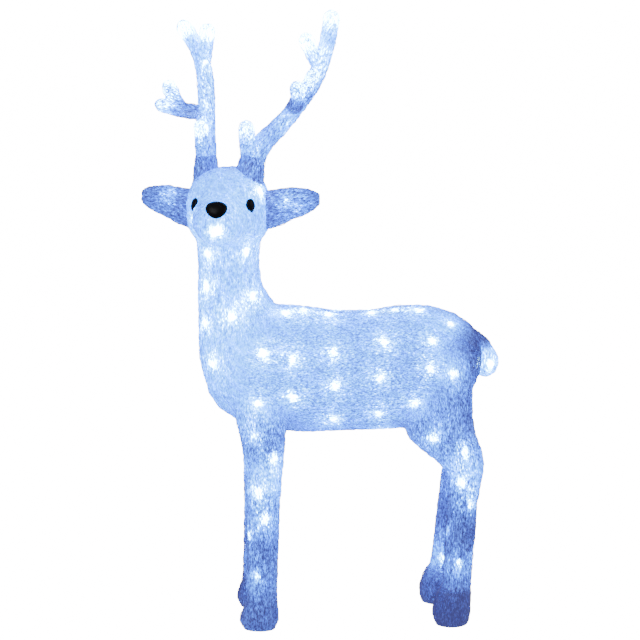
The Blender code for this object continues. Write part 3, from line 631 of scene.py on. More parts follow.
def smooth_line(points, radii, steps=4):
    """A Catmull-Rom curve through the points, with the radii blended along it."""
    points = [Vector(point) for point in points]
    padded = [points[0] * 2 - points[1]] + points + [points[-1] * 2 - points[-2]]
    line = []
    widths = []
    for k in range(len(points) - 1):
        before, start, end, after = padded[k : k + 4]
        for step in range(steps):
            t = step / steps
            spot = start * 2 + (end - before) * t
            spot += (before * 2 - start * 5 + end * 4 - after) * t * t
            spot += (start * 3 - before - end * 3 + after) * t * t * t
            line.append(spot * 0.5)
            widths.append(radii[k] * (1 - t) + radii[k + 1] * t)
    line.append(points[-1])
    widths.append(radii[-1])
    return line, widths


def plug_axis(layout):
    points = layout["beam"][0]
    return (Vector(points[1]) - Vector(points[0])).normalized()


def plug_seat(layout):
    return Vector(layout["beam"][0][0]) + plug_axis(layout) * 0.012


def antler_pieces(layout, head_tree):
    """One antler's open skins: collar, beam and three branches."""
    sets = [tube_rings(*smooth_line(points, radii)) for points, radii in layout.values()]
    rest = seated(skin(sets, ANTLER_VOXEL, SMALL_SMOOTHING, 20), head_tree)
    pieces = {}
    for branch, distance in BRANCH_SEAM.items():
        points = [Vector(point) for point in layout[branch][0]]
        ahead = (points[-1] - points[0]).normalized()
        seam = points[0] + ahead * distance
        pieces[branch], rest = parted(rest, seam, ahead, points[-1], BRANCH_REACH[branch])
    axis = plug_axis(layout)
    split = plug_seat(layout) + axis * COLLAR_LENGTH
    pieces["collar"], pieces["beam"] = parted(rest, split, -axis, plug_seat(layout), 0.1)
    return pieces


# ---------------------------------------------------------------- lamps behind the shells

# Lamps that show on each side of the body, as (x, z)
TORSO_LAMPS = (
    (-0.189, 0.504), (-0.148, 0.517), (-0.178, 0.438), (-0.060, 0.519), (-0.098, 0.460), (-0.052, 0.451),
    (-0.107, 0.379), (-0.050, 0.388), (0.011, 0.513), (0.015, 0.460), (0.017, 0.407), (0.017, 0.348),
    (0.080, 0.514), (0.098, 0.475), (0.090, 0.419), (0.090, 0.357), (0.159, 0.518), (0.175, 0.476),
    (0.171, 0.432), (0.148, 0.377), (0.209, 0.498), (0.211, 0.423),
)
NECK_LAMPS = ((-0.185, 0.617), (-0.123, 0.620), (-0.187, 0.564), (-0.113, 0.547))
FRONT_LEG_LAMPS = ((-0.115, 0.327), (-0.082, 0.290), (-0.109, 0.232), (-0.096, 0.191), (-0.110, 0.094))
HIND_LEG_LAMPS = ((0.176, 0.319), (0.228, 0.296), (0.223, 0.244), (0.238, 0.206), (0.220, 0.110))
# Lamps on the chest, the back, the rump and the belly, as (start, direction)
END_LAMPS = (
    ((-0.30, 0.020, 0.470), (1, 0, 0)), ((-0.30, 0.012, 0.540), (1, 0, 0)),
    ((-0.30, 0.010, 0.395), (1, 0, 0)), ((0.03, 0.018, 0.60), (0, 0, -1)),
    ((0.12, -0.016, 0.60), (0, 0, -1)), ((0.20, 0.020, 0.60), (0, 0, -1)),
    ((-0.03, -0.020, 0.60), (0, 0, -1)), ((0.35, 0.040, 0.415), (-1, 0, 0)),
    ((0.35, -0.040, 0.370), (-1, 0, 0)), ((-0.01, 0.020, 0.20), (0, 0, 1)),
    ((0.10, -0.024, 0.20), (0, 0, 1)),
)
# Lamps round the back and the inside of a leg, as (height, direction seen from above)
LEG_ROUND_LAMPS = ((0.270, 110), (0.215, 60), (0.160, 200), (0.125, 20), (0.080, 120))
# Lamps in the head, as (left, ahead, height) of the way out from its middle
HEAD_LAMPS = (
    (-0.72, 0.7, 0.672), (1.0, 0.42, 0.718), (-0.5, -0.8, 0.690), (0.3, -1.0, 0.665), (0.8, -0.5, 0.700),
    (-0.9, -0.1, 0.665),
)
CHIN_LAMP_Z = 0.661
# Radius of a lamp's hot core and of its halo
BODY_LAMP = (0.0062, 0.023)
CHIN_LAMP = (0.0090, 0.020)
TAIL_LAMP = (0.006, 0.024)
TIP_LAMP = (0.0160, 0.021)
MID_BRANCH_GROWTH = 1.22
# Lamps in each ear, as (out, height, core radius, halo radius)
EAR_LAMPS = {1.0: ((0.097, 0.704, 0.0040, 0.014), (0.102, 0.697, 0.001, 0.026), (0.120, 0.697, 0.001, 0.018)),
             -1.0: ((0.098, 0.710, 0.0040, 0.013), (0.100, 0.706, 0.001, 0.022))}


def cast(tree, start, aim):
    hit = tree.ray_cast(Vector(start), Vector(aim).normalized())
    return hit[0]


def side_lamps(tree, spots, side):
    """The places where lamps show on one side, found from outside."""
    return [cast(tree, (x, side * 0.4, z), (0, -side, 0)) for x, z in spots]


def body_lamps(tree):
    """Every lamp of the body as (place, core radius, halo radius)."""
    places = []
    for side in (-1.0, 1.0):
        for spots in (TORSO_LAMPS, NECK_LAMPS, FRONT_LEG_LAMPS, HIND_LEG_LAMPS):
            places += side_lamps(tree, spots, side)
        for x, offset in ((-0.100, FRONT_LEG_OFFSET_Y), (0.224, HIND_LEG_OFFSET_Y)):
            for z, angle in LEG_ROUND_LAMPS:
                turn = radians(angle)
                places.append(cast(tree, (x, side * offset, z), (cos(turn), -side * sin(turn), 0.0)))
    for start, aim in END_LAMPS:
        places.append(cast(tree, start, aim))
    for left, ahead, height in HEAD_LAMPS:
        aim = LEFT * left + FORWARD * ahead
        places.append(cast(tree, head_point(0.0, 0.0, height), aim))
    made = [(place, *BODY_LAMP) for place in places if place is not None]
    made.append((cast(tree, head_point(0.004, 0.20, CHIN_LAMP_Z), -FORWARD), *CHIN_LAMP))
    return made


def ear_lamps(side):
    return [(head_point(side * out, 0.012, z), core, halo) for out, z, core, halo in EAR_LAMPS[side]]


# Lamps along each beam, as (x, y, z, core radius, halo radius)
BEAM_LAMPS = {
    "left": ((0.003, -0.002, 0.936, 0.004, 0.018), (-0.054, -0.015, 0.822, 0.002, 0.020),
             (-0.110, -0.025, 0.783, 0.002, 0.022), (-0.020, -0.004, 0.892, 0.002, 0.018),
             (-0.002, 0.000, 0.912, 0.002, 0.013)),
    "right": ((-0.184, 0.048, 0.919, 0.003, 0.016), (-0.183, 0.034, 0.895, 0.002, 0.020),
              (-0.184, 0.020, 0.862, 0.001, 0.024), (-0.184, 0.008, 0.828, 0.001, 0.020),
              (-0.184, -0.006, 0.783, 0.001, 0.014), (-0.191, -0.014, 0.804, 0.006, 0.017)),
}


def antler_lamps(name):
    """Lamps along the beam, and a brighter one at the tip of every branch."""
    made = []
    for x, y, z, core, halo in BEAM_LAMPS[name]:
        made.append((Vector((x, y, z)), core, halo))
    for branch, (points, _) in ANTLERS[name].items():
        tip = Vector(points[-1])
        back = (Vector(points[-2]) - tip).normalized()
        grown = MID_BRANCH_GROWTH if branch.startswith("mid_branch") else 1.0
        made.append((tip + back * 0.002, TIP_LAMP[0] * grown, TIP_LAMP[1] * grown))
    return made


# ---------------------------------------------------------------- threads

# The way the threads run, as (place, reach, direction), blended by distance
FLOWS = (
    ((-0.06, 0.42), 0.075, (1.0, 0.0, -0.05)),
    ((0.04, 0.42), 0.085, (1.0, 0.0, 0.0)),
    ((0.13, 0.43), 0.075, (1.0, 0.0, -0.08)),
    ((0.21, 0.48), 0.045, (0.8, 0.0, -0.6)),
    ((0.25, 0.40), 0.050, (0.1, 0.0, -1.0)),
    ((0.20, 0.33), 0.050, (0.25, 0.0, -1.0)),
    ((-0.19, 0.43), 0.045, (0.25, 0.0, -1.0)),
    ((-0.10, 0.33), 0.045, (0.1, 0.0, -1.0)),
    ((-0.11, 0.52), 0.035, (0.7, 0.0, -0.75)),
    ((-0.17, 0.53), 0.050, (0.05, 0.0, -1.0)),
    ((-0.15, 0.60), 0.050, (0.0, 0.0, -1.0)),
    ((-0.15, 0.70), 0.060, (0.3, 0.1, -1.0)),
    ((-0.10, 0.15), 0.120, (0.0, 0.0, -1.0)),
    ((0.225, 0.15), 0.120, (0.0, 0.0, -1.0)),
)


def body_flow(place):
    total = Vector()
    for (x, z), reach, direction in FLOWS:
        direction = Vector(direction)
        across = (place.x - x) ** 2 + (place.z - z) ** 2
        total += direction.normalized() * exp(-across / (reach * reach)) + direction * 1e-6
    return total.normalized()


def line_flow(lines):
    """Threads that run along the nearest of several lines of points."""
    spots = []
    for line in lines:
        for start, end in zip(line, line[1:]):
            spots.append(((start + end) / 2, (end - start).normalized()))

    def flow(place):
        return min(spots, key=lambda spot: (spot[0] - place).length_squared)[1]

    return flow


class Strands:
    """Threads laid on a surface, gathered as points and faces."""

    def __init__(self, seed):
        self.random = random.Random(seed)
        self.points = []
        self.faces = []
        self.tones = []

    def add(self, path, radius, tone, sides=4):
        first = len(self.points)
        last = len(path) - 1
        for k, (place, normal) in enumerate(path):
            ahead = (path[min(k + 1, last)][0] - path[max(k - 1, 0)][0]).normalized()
            side = ahead.cross(normal).normalized()
            rise = side.cross(ahead)
            thin = radius * (0.35 if k in (0, last) else 1.0)
            for j in range(sides):
                angle = 2.0 * pi * (j + 0.5) / sides
                self.points.append(place + side * (cos(angle) * thin) + rise * (sin(angle) * thin))
                self.tones.append(tone)
        for k in range(last):
            low = first + k * sides
            for j in range(sides):
                nxt = (j + 1) % sides
                self.faces.append((low + j, low + nxt, low + sides + nxt, low + sides + j))
        self.faces.append(tuple(first + j for j in reversed(range(sides))))
        self.faces.append(tuple(first + last * sides + j for j in range(sides)))


def laid(strands, mesh, flow, count, length, radius, spread, tones=THREAD_TONES):
    """Lays threads on an open skin: each starts somewhere on it and follows the flow, wandering a little."""
    chance = strands.random
    tree = surface_tree(mesh)
    areas = [face.area for face in mesh.polygons]
    picks = chance.choices(range(len(areas)), weights=areas, k=count)
    for pick in picks:
        face = mesh.polygons[pick]
        place = Vector(face.center)
        normal = Vector(face.normal)
        turn = chance.gauss(0.0, spread)
        drift = chance.gauss(0.0, spread * 0.25)
        height = chance.uniform(-0.5, 1.0) * THREAD_LIFT
        if chance.random() < 0.5:
            turn += pi
        steps = max(3, int(chance.uniform(0.5, 1.5) * length / THREAD_STEP))
        path = []
        for k in range(steps):
            path.append((place + normal * (height + 0.0004 * sin(k * 1.3 + pick)), normal))
            ahead = flow(place)
            ahead = (ahead - normal * ahead.dot(normal)).normalized()
            across = normal.cross(ahead)
            way = ahead * cos(turn) + across * sin(turn)
            turn += drift * 0.3 + chance.gauss(0.0, 0.05)
            found, turned, _, _ = tree.find_nearest(place + way * THREAD_STEP)
            if found is None or (found - place).length < THREAD_STEP * 0.5 or turned.dot(normal) < 0.5:
                break
            place = found
            normal = turned
        if len(path) > 2:
            strands.add(path, radius * chance.uniform(0.7, 1.25), chance.uniform(*tones))


# ---------------------------------------------------------------- materials

# Colour of the glow from unlit thread to lamp, as (level, glow, colour of the thread, which is painted darker
# where the glow is low, as painted shade)
GLOW_RAMP = (
    (0.00, (0.042, 0.035, 0.165), (0.030, 0.050, 0.200)),
    (0.12, (0.062, 0.061, 0.317), (0.040, 0.075, 0.280)),
    (0.24, (0.076, 0.115, 0.707), (0.050, 0.100, 0.360)),
    (0.36, (0.065, 0.229, 1.465), (0.065, 0.145, 0.480)),
    (0.48, (0.042, 0.412, 2.684), (0.080, 0.190, 0.600)),
    (0.58, (0.000, 0.888, 4.226), (0.110, 0.255, 0.690)),
    (0.68, (0.000, 1.559, 5.738), (0.140, 0.320, 0.780)),
    (0.78, (0.331, 2.439, 7.409), (0.251, 0.467, 0.854)),
    (0.87, (1.481, 5.374, 10.67), (0.350, 0.600, 0.920)),
    (0.94, (4.413, 11.38, 28.88), (0.619, 0.788, 0.963)),
    (1.00, (15.76, 38.00, 38.00), (0.850, 0.950, 1.000)),
)
GLOW_STRENGTH = 40.0
BRIGHT_TONE = 0.62
# Noise for single threads and for clumps of them, as (scale, detail, roughness, distortion)
FINE_NOISE = (460.0, 3.0, 0.75, 0.0)
SOFT_NOISE = (120.0, 2.0, 0.5, 0.3)


class Nodes:
    """Short calls for a material's nodes."""

    def __init__(self, name):
        self.material = bpy.data.materials.new(name)
        self.material.use_nodes = True
        self.tree = self.material.node_tree
        self.shader = self.tree.nodes["Principled BSDF"]

    def add(self, kind, **values):
        node = self.tree.nodes.new(kind)
        for key, value in values.items():
            setattr(node, key, value)
        return node

    def link(self, source, target):
        self.tree.links.new(source, target)

    def attribute(self, name, vector=False):
        node = self.add("ShaderNodeAttribute", attribute_name=name)
        return node.outputs["Vector" if vector else "Fac"]

    def math(self, operation, first, second):
        node = self.add("ShaderNodeMath", operation=operation)
        for socket, value in zip(node.inputs, (first, second)):
            if isinstance(value, (int, float)):
                socket.default_value = value
            else:
                self.link(value, socket)
        return node.outputs[0]

    def noise(self, vector, *shape):
        node = self.add("ShaderNodeTexNoise")
        for name, value in zip(("Scale", "Detail", "Roughness", "Distortion"), shape):
            node.inputs[name].default_value = value
        self.link(vector, node.inputs["Vector"])
        return node.outputs["Fac"]

    def ramp(self, factor, stops):
        node = self.add("ShaderNodeValToRGB")
        elements = node.color_ramp.elements
        elements[0].position, elements[0].color = stops[0][0], (*stops[0][1], 1.0)
        elements[-1].position, elements[-1].color = stops[-1][0], (*stops[-1][1], 1.0)
        for position, colour in stops[1:-1]:
            element = elements.new(position)
            element.color = (*colour, 1.0)
        self.link(factor, node.inputs["Fac"])
        return node.outputs["Color"]

    def plus(self, base, value, factor):
        """base + value * factor"""
        return self.math("ADD", base, self.math("MULTIPLY", value, factor))

    def mixed(self, factor, first, second):
        rest = self.math("MULTIPLY", first, self.math("SUBTRACT", 1.0, factor))
        return self.plus(rest, second, factor)

    def speckle(self, upright, along, down, *shape):
        """Noise about zero, squeezed along the threads."""
        both = self.mixed(upright, self.noise(along, *shape), self.noise(down, *shape))
        return self.math("SUBTRACT", both, 0.5)

    def bump(self, height, strength, distance):
        node = self.add("ShaderNodeBump")
        node.inputs["Strength"].default_value = strength
        node.inputs["Distance"].default_value = distance
        self.link(height, node.inputs["Height"])
        self.link(node.outputs["Normal"], self.shader.inputs["Normal"])

    def set(self, name, value):
        self.shader.inputs[name].default_value = value


def thread_material():
    """Fused thread lit from inside. The mesh says where the lamps are and which way the threads run."""
    nodes = Nodes("lit_thread_shell")
    upright = nodes.attribute("upright")
    along = nodes.attribute("grain_along", True)
    down = nodes.attribute("grain_down", True)
    fine = nodes.speckle(upright, along, down, *FINE_NOISE)
    soft = nodes.speckle(upright, along, down, *SOFT_NOISE)
    # The shell's painted glow and painted shade, with a tone that differs at random on each thread
    tone = nodes.attribute("tone")
    halo = nodes.attribute("halo")
    core = nodes.attribute("core")
    # The speckle is strongest in the middle tones
    dim = nodes.math("MAXIMUM", 0.0, nodes.math("SUBTRACT", BRIGHT_TONE, tone))
    middling = nodes.math("MULTIPLY", dim, nodes.math("SUBTRACT", BRIGHT_TONE, dim))
    crackle = nodes.plus(1.10, middling, 7.8)
    both = nodes.math("ADD", fine, soft)
    level = nodes.plus(tone, fine, crackle)
    level = nodes.plus(level, soft, 0.13)
    level = nodes.plus(level, halo, nodes.plus(0.17, both, 0.45))
    level = nodes.plus(level, core, nodes.plus(0.46, fine, 0.20))
    glow = [(at, tuple(value / GLOW_STRENGTH for value in colour)) for at, colour, _ in GLOW_RAMP]
    nodes.link(nodes.ramp(level, glow), nodes.shader.inputs["Emission Color"])
    thread = [(at, colour) for at, _, colour in GLOW_RAMP]
    nodes.link(nodes.ramp(level, thread), nodes.shader.inputs["Base Color"])
    nodes.link(nodes.plus(0.42, fine, 0.4), nodes.shader.inputs["Roughness"])
    nodes.bump(fine, 0.5, 0.0008)
    nodes.set("Emission Strength", GLOW_STRENGTH)
    nodes.set("IOR", 1.45)
    return nodes.material


def plastic_material(name, dark, light, roughness, scale, glow=0.0):
    """Moulded plastic with a faint mottle."""
    nodes = Nodes(name)
    coordinates = nodes.add("ShaderNodeTexCoord").outputs["Object"]
    mottle = nodes.noise(coordinates, scale, 3.0, 0.55)
    colour = nodes.ramp(mottle, [(0.3, dark), (0.7, light)])
    nodes.link(colour, nodes.shader.inputs["Base Color"])
    nodes.link(nodes.plus(roughness - 0.05, mottle, 0.1), nodes.shader.inputs["Roughness"])
    nodes.bump(mottle, 0.08, 0.0002)
    if glow:
        nodes.link(colour, nodes.shader.inputs["Emission Color"])
        nodes.set("Emission Strength", glow)
    return nodes.material


# ---------------------------------------------------------------- painted glow and shade of the shell


def across(x, z, reach_x, reach_z, change):
    """A patch that is the same on both sides of the animal."""
    return (x, 0.0, z), (reach_x, 0.3, reach_z), change


# Parts of the shell where the painted glow is darker, as painted shade, or lighter than the rest, as (centre,
# reach along each axis, change)
PAINTED_GLOW_PATCHES = (
    across(0.256, 0.430, 0.028, 0.070, -0.28),
    across(0.240, 0.468, 0.036, 0.026, -0.19),
    across(0.000, 0.345, 0.030, 0.025, 0.05),
    across(0.240, 0.350, 0.030, 0.045, -0.19),
    across(0.192, 0.309, 0.022, 0.022, -0.09),
    across(0.225, 0.222, 0.030, 0.018, -0.15),
    across(0.233, 0.258, 0.020, 0.020, 0.09),
    across(-0.095, 0.309, 0.034, 0.020, -0.11),
    across(-0.095, 0.244, 0.030, 0.016, 0.09),
    across(-0.095, 0.204, 0.034, 0.018, -0.15),
    ((0.212, 0.064, 0.060), (0.060, 0.03, 0.060), 0.22),
    ((-0.105, 0.063, 0.030), (0.050, 0.03, 0.050), -0.14),
    across(0.200, 0.370, 0.040, 0.040, -0.06),
    across(-0.070, 0.330, 0.030, 0.024, -0.10),
    across(0.150, 0.335, 0.024, 0.022, -0.10),
    across(-0.150, 0.480, 0.050, 0.100, 0.06),
    across(-0.150, 0.400, 0.050, 0.050, 0.04),
    ((-0.140, -0.08, 0.700), (0.030, 0.05, 0.025), 0.06),
)
# The shell's painted glow by height, low glow being painted shade: one line for the front of the animal, one
# for the back
HEIGHTS_FRONT = (0.0, 0.030, 0.060, 0.080, 0.115, 0.145, 0.170, 0.220, 0.270, 0.300, 0.350, 0.420,
                 0.500, 0.560, 0.620, 0.700, 0.760)
PAINTED_GLOW_FRONT = (0.18, 0.18, 0.22, 0.28, 0.19, 0.22, 0.35, 0.46, 0.52, 0.40, 0.47, 0.54, 0.57, 0.59,
               0.60, 0.61, 0.58)
HEIGHTS_BACK = (0.0, 0.030, 0.055, 0.070, 0.100, 0.130, 0.150, 0.180, 0.210, 0.260, 0.300, 0.350,
                0.420, 0.500)
PAINTED_GLOW_BACK = (0.03, 0.03, 0.07, 0.23, 0.29, 0.15, 0.10, 0.14, 0.35, 0.46, 0.42, 0.47, 0.50, 0.53)
# Painted shade where the shell turns edge-on to a view along y, and how tightly it keeps to that edge
PAINTED_EDGE_SHADE = 0.20
PAINTED_EDGE_SHADE_SHARPNESS = 4
LEG_LAMP_STRETCH = 0.72
# Painted glow levels of the ears, the tail and the antler pieces, a painted shade at the tail's root, and the
# height above which the antlers' painted glow brightens
EAR_TONE = 0.27
TAIL_TONE = 0.58
TAIL_ROOT_Z = 0.450
TAIL_ROOT_PAINTED_SHADE = 0.45
ANTLER_TONE = 0.45
ANTLER_TONES = {"collar": 0.30, "mid_branch": 0.19, "brow_tine": 0.42}
ANTLER_LIGHTER_FROM_Z = 0.82


def painted_shell_glow(points, normals, base):
    """The shell's painted glow and painted shade. Without a base it comes from the height on the body."""
    if base is not None:
        # Painted glow, brighter up the antlers
        tone = base + np.clip((points[:, 2] - ANTLER_LIGHTER_FROM_Z) * 1.1, 0.0, 0.12)
        if base == TAIL_TONE:
            # Painted shade on the tail towards its root
            tone -= np.clip((points[:, 2] - TAIL_ROOT_Z) / 0.016, 0.0, 1.0) * TAIL_ROOT_PAINTED_SHADE
    else:
        front = np.interp(points[:, 2], HEIGHTS_FRONT, PAINTED_GLOW_FRONT)
        back = np.interp(points[:, 2], HEIGHTS_BACK, PAINTED_GLOW_BACK)
        share = np.clip((points[:, 0] + 0.02) / 0.16, 0.0, 1.0)
        tone = front * (1.0 - share) + back * share
        for centre, reach, change in PAINTED_GLOW_PATCHES:
            away = (points - np.array(centre)) / np.array(reach)
            tone += change * np.exp(-(away ** 2).sum(axis=1))
    # Painted shade where the shell turns edge-on to a view along y
    tone -= PAINTED_EDGE_SHADE * (1.0 - np.abs(normals[:, 1])) ** PAINTED_EDGE_SHADE_SHARPNESS
    return tone


def lamp_light(points, lamps):
    """How much of the lamps' hot cores and of their halos reaches each point."""
    core = np.zeros(len(points))
    halo = np.zeros(len(points))
    for place, tight, wide in lamps:
        stretch = np.array((1.0, 1.0, LEG_LAMP_STRETCH if place[2] < LEG_TOP_Z else 1.0))
        gap = (((points - np.array(place)) * stretch) ** 2).sum(axis=1)
        core = np.maximum(core, np.exp(-gap / tight ** 2))
        halo += np.exp(-gap / wide ** 2)
    return core, np.minimum(halo, 1.25)


def uprights(points):
    """1 where the threads run up and down, 0 where they run along the body."""
    made = np.empty(len(points))
    for k, place in enumerate(points):
        made[k] = min(1.0, max(0.0, abs(body_flow(Vector(place)).z) * 1.6 - 0.3))
    return made


# ---------------------------------------------------------------- assembly of a piece


def joined_mesh(name, base, strands):
    """The shell and its threads as one mesh."""
    count = len(base.vertices)
    points = [tuple(point) for point in point_array(base)]
    faces = [tuple(face.vertices) for face in base.polygons]
    points += [tuple(point) for point in strands.points]
    faces += [tuple(count + index for index in face) for face in strands.faces]
    mesh = bpy.data.meshes.new(name)
    mesh.from_pydata(points, [], faces)
    mesh.update()
    return mesh, count


def write_attribute(mesh, name, values):
    kind = "FLOAT" if values.ndim == 1 else "FLOAT_VECTOR"
    layer = mesh.attributes.new(name, kind, "POINT")
    key = "value" if values.ndim == 1 else "vector"
    layer.data.foreach_set(key, values.astype(np.float32).ravel())


def finish_piece(name, mesh, material, body, nodes):
    mesh.transform(Matrix.Translation(CENTRING))
    mesh.shade_smooth()
    mesh.materials.clear()
    mesh.materials.append(material)
    made = new_object(name, mesh)
    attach(made, body)
    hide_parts(*nodes)
    return made


def thread_piece(name, skin_mesh, wall, strands, lamps, tone, grain, body, node, material):
    """A shell with its threads, painted with its glow and shade, its lamps and its grain."""
    base = shelled(skin_mesh, wall)
    mesh, count = joined_mesh(name, base, strands)
    points = point_array(mesh)
    normals = point_array(mesh, "normal")
    tree = surface_tree(skin_mesh)
    for k in range(count, len(points)):
        normals[k] = tree.find_nearest(Vector(points[k]))[1]
    tones = painted_shell_glow(points, normals, tone)
    tones[count:] += np.array(strands.tones)
    core, halo = lamp_light(points, lamps)
    along, down, upright = grain(points)
    layers = {"tone": tones, "core": core, "halo": halo, "upright": upright,
              "grain_along": along, "grain_down": down}
    for key, values in layers.items():
        write_attribute(mesh, key, values)
    return finish_piece(name, mesh, material, body, [node])


def body_grain(points):
    along = points * np.array((0.50, 1.0, 1.0))
    down = points * np.array((1.0, 1.0, 0.36))
    return along, down, uprights(points)


def axis_grain(axis):
    """Grain along one direction."""
    axis = np.array(axis)

    def grain(points):
        reach = points @ axis
        made = points - np.outer(reach * 0.68, axis)
        return made, made, np.zeros(len(points))

    return grain


def ellipsoid(centre, axes, sides, rows, taper=0.0):
    """An ellipsoid with its poles on the third axis, narrower towards the second axis's low end by taper."""
    build = bmesh.new()
    grid = []
    for k in range(1, rows):
        polar = pi * k / rows
        ring = []
        for j in range(sides):
            turn = 2.0 * pi * j / sides
            u, v, w = sin(polar) * cos(turn), sin(polar) * sin(turn), cos(polar)
            wide = 1.0 + taper * v
            ring.append(build.verts.new(centre + axes[0] * (u * wide) + axes[1] * v + axes[2] * w))
        grid.append(ring)
    faced(build, grid, (centre + axes[2], centre - axes[2]))
    return closed(build)


def button_axes(outward):
    side, _ = side_axes(outward)
    rise = outward.cross(side).normalized()
    if rise.z < 0:
        rise = -rise
    return side, rise


# ---------------------------------------------------------------- building


def build_body(material):
    whole = body_skin()
    tree = surface_tree(whole)
    lamps = body_lamps(tree)
    pieces = body_pieces(whole)
    for seed, (name, mesh) in enumerate(pieces.items()):
        count, length, spread = BODY_THREADS[name.split("_")[0]]
        strands = Strands(seed + 1)
        laid(strands, mesh, body_flow, count, length, BODY_THREAD_RADIUS, spread)
        node = name + "_shell" if name in ("head", "neck") else name.replace("torso", "torso_shell")
        thread_piece(name + "_threads", mesh, BODY_WALL, strands, lamps, None, body_grain, "reindeer",
                     node, material)
    return tree


def build_ears(material, head_tree):
    for seed, (name, side) in enumerate((("left", 1.0), ("right", -1.0))):
        mesh = seated(skin([ear_rings(side)], EAR_VOXEL, SMALL_SMOOTHING), head_tree)
        axis = (LEFT * side + UP * 0.16).normalized()
        strands = Strands(50 + seed)
        laid(strands, mesh, lambda place: axis, 300, 0.040, SMALL_THREAD_RADIUS, 0.30)
        thread_piece("ear_%s_threads" % name, mesh, SOFT_WALL, strands, ear_lamps(side), EAR_TONE,
                     axis_grain(axis), "reindeer", "ear_" + name, material)


def build_tail(material, tree):
    mesh = seated(skin([tube_rings(TAIL_LINE, TAIL_RADII)], EAR_VOXEL, SMALL_SMOOTHING), tree)
    strands = Strands(60)
    way = Vector((0.5, 0.2, -0.8))
    laid(strands, mesh, lambda place: way, 150, 0.030, SMALL_THREAD_RADIUS, 0.7, TAIL_THREAD_TONES)
    lamps = [(TAIL_LINE[-1] + Vector((0.008, side * 0.022, 0.0)), *TAIL_LAMP) for side in (-1.0, 1.0)]
    thread_piece("tail_threads", mesh, SOFT_WALL, strands, lamps, TAIL_TONE, axis_grain(UP), "reindeer",
                 "tail_shell", material)


def build_antlers(material, head_tree):
    for seed, (name, layout) in enumerate(ANTLERS.items()):
        lines = [smooth_line(points, radii)[0] for points, radii in layout.values()]
        flow = line_flow(lines)
        lamps = antler_lamps(name)
        for step, (piece, mesh) in enumerate(antler_pieces(layout, head_tree).items()):
            strands = Strands(100 + seed * 10 + step)
            laid(strands, mesh, flow, ANTLER_THREADS.get(piece, 90), 0.035, SMALL_THREAD_RADIUS, 0.30)
            tone = ANTLER_TONES.get(piece, ANTLER_TONE)
            thread_piece("antler_%s_%s_threads" % (piece, name), mesh, ANTLER_WALL, strands, lamps, tone,
                         axis_grain(antler_axis(layout, piece)), "antler_" + name,
                         "antler_%s_%s" % (piece, name), material)


def antler_axis(layout, piece):
    points = layout["beam" if piece == "collar" else piece][0]
    end = points[1] if piece == "collar" else points[-1]
    return (Vector(end) - Vector(points[0])).normalized()


def build_plugs():
    clear = plastic_material("clear_plastic_look", (0.55, 0.62, 0.72), (0.75, 0.82, 0.90), 0.2, 90.0)
    bore = SPIGOT_RADIUS + SOCKET_CLEARANCE
    floor = -SPIGOT_DEPTH - 0.001
    top = COLLAR_LENGTH - 0.004
    for name, layout in ANTLERS.items():
        axis = plug_axis(layout)
        seat = plug_seat(layout)
        spigot = spun(seat, axis, [
            (SPIGOT_BORE, -SPIGOT_DEPTH), (SPIGOT_RADIUS - 0.0008, -SPIGOT_DEPTH),
            (SPIGOT_RADIUS, -SPIGOT_DEPTH + 0.0015), (SPIGOT_RADIUS, top), (SPIGOT_BORE, top)])
        socket = spun(seat, axis, [
            (SOCKET_FLOOR_HOLE, floor - 0.002), (SOCKET_RADIUS, floor - 0.002), (SOCKET_RADIUS, -0.001),
            (bore, -0.001), (bore, floor), (SOCKET_FLOOR_HOLE, floor)])
        for node, ending, mesh, body in (("spigot", "tube", spigot, "antler_" + name),
                                         ("socket", "cup", socket, "reindeer")):
            node = "antler_%s_%s" % (node, name)
            made = finish_piece("%s_%s" % (node, ending), mesh, clear, body, [node])
            made.data.set_sharp_from_angle(angle=SHARP_ANGLE)


def build_face(tree):
    black = plastic_material("glossy_black_look", (0.003, 0.002, 0.003), (0.006, 0.004, 0.006), 0.30, 60.0)
    black.node_tree.nodes["Principled BSDF"].inputs["Specular IOR Level"].default_value = BLACK_SPECULAR
    for name, angle in EYE_ANGLES.items():
        aim = LEFT * sin(angle) + FORWARD * cos(angle)
        bead(name, tree, head_point(0.0, 0.010, EYE_Z), aim, EYE_HALF_SIZES, (40, 24), black)
    aim = (FORWARD + UP * 0.36).normalized()
    bead("nose", tree, head_point(0.0035, 0.050, NOSE_Z), aim, NOSE_HALF_SIZES, (56, 30, NOSE_TAPER), black)


def bead(name, tree, start, aim, half_sizes, shape, material):
    """A domed button where the aim meets the head, facing between the aim and the head's surface."""
    place, normal, _, _ = tree.ray_cast(start, aim)
    outward = (aim + normal).normalized()
    wide, rise = button_axes(outward)
    axes = [axis * half for axis, half in zip((wide, rise, outward), half_sizes)]
    mesh = ellipsoid(place, axes, *shape)
    finish_piece(name + "_bead", mesh, material, "reindeer", [name])


def dress_frame_nodes():
    """Better materials on the frame's own pieces that stay."""
    lamp = plastic_material("cool_white_lamp_look", (0.80, 0.93, 1.0), (0.95, 0.99, 1.0), 0.2, 200.0, 12.0)
    rubber = plastic_material("white_rubber_look", (0.70, 0.71, 0.72), (0.82, 0.83, 0.84), 0.55, 400.0)
    for name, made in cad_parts.items():
        if name.startswith("lights_"):
            shade = lamp
        elif name == "cord_gland":
            shade = rubber
        else:
            continue
        made = bpy.data.objects[made] if isinstance(made, str) else made
        for place in made.material_slots:
            place.material = shade


def background(tree, colour, strength):
    node = tree.nodes.new("ShaderNodeBackground")
    node.inputs["Color"].default_value = colour
    node.inputs["Strength"].default_value = strength
    return node


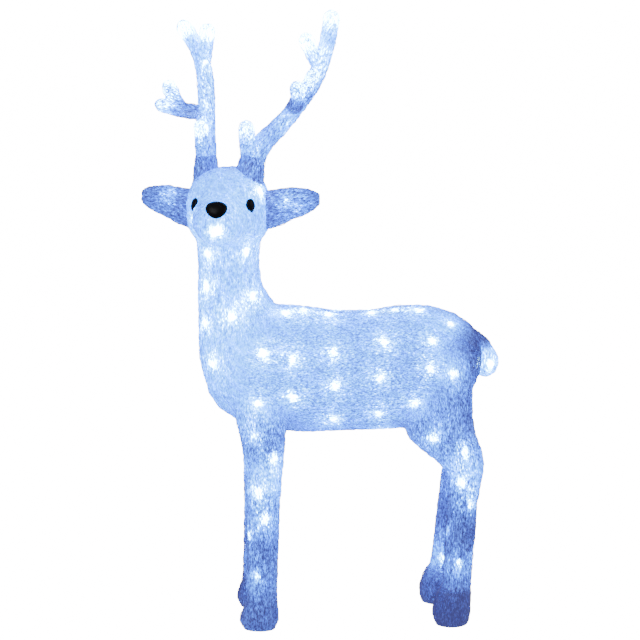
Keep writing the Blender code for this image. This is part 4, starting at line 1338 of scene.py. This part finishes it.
def build_stage():
    """A plain white floor and surround, soft light and the camera."""
    floor_mesh = bpy.data.meshes.new("floor")
    corners = [(x * FLOOR_REACH, y * FLOOR_REACH, 0) for x, y in ((-1, -1), (1, -1), (1, 1), (-1, 1))]
    floor_mesh.from_pydata(corners, [], [(0, 1, 2, 3)])
    floor = new_object("floor", floor_mesh)
    floor.location.z = -0.0005
    pale = Nodes("pale_floor")
    pale.set("Base Color", (0.9, 0.9, 0.9, 1.0))
    pale.set("Roughness", 0.8)
    pale.set("Emission Color", (1.0, 1.0, 1.0, 1.0))
    pale.set("Emission Strength", 16.0)
    floor_mesh.materials.append(pale.material)
    floor.visible_diffuse = False
    floor.visible_glossy = False

    world = bpy.data.worlds.new("studio")
    bpy.context.scene.world = world
    world.use_nodes = True
    tree = world.node_tree
    tree.nodes.clear()
    light = background(tree, (0.95, 0.97, 1.0, 1.0), 0.35)
    seen = background(tree, (1.0, 1.0, 1.0, 1.0), 18.0)
    path = tree.nodes.new("ShaderNodeLightPath")
    mix = tree.nodes.new("ShaderNodeMixShader")
    out = tree.nodes.new("ShaderNodeOutputWorld")
    tree.links.new(path.outputs["Is Camera Ray"], mix.inputs[0])
    tree.links.new(light.outputs[0], mix.inputs[1])
    tree.links.new(seen.outputs[0], mix.inputs[2])
    tree.links.new(mix.outputs[0], out.inputs["Surface"])

    for place, power, size in SOFT_LIGHTS:
        data = bpy.data.lights.new("soft_light", "AREA")
        data.energy = power
        data.size = size
        lamp = new_object("soft_light", data)
        lamp.location = place
        lamp.rotation_euler = facing(Vector(place), Vector((0.0, 0.0, 0.5)))
    build_camera()


def facing(place, target):
    return (target - place).to_track_quat("-Z", "Y").to_euler()


def build_camera():
    way = Vector((sin(CAMERA_AZIMUTH), -cos(CAMERA_AZIMUTH), 0.0))
    eye = way * CAMERA_DISTANCE + UP * CAMERA_HEIGHT + CENTRING
    target = CAMERA_TARGET + CENTRING
    data = bpy.data.cameras.new("camera")
    data.sensor_width = 36.0
    data.lens = CAMERA_LENS
    camera = new_object("camera", data)
    camera.location = eye
    camera.rotation_euler = facing(eye, target)
    data.clip_start = 0.05
    data.clip_end = 200.0
    bpy.context.scene.camera = camera


def build():
    build_stage()
    threads = thread_material()
    tree = build_body(threads)
    build_ears(threads, tree)
    build_tail(threads, tree)
    build_antlers(threads, tree)
    build_plugs()
    build_face(tree)
    dress_frame_nodes()


build()
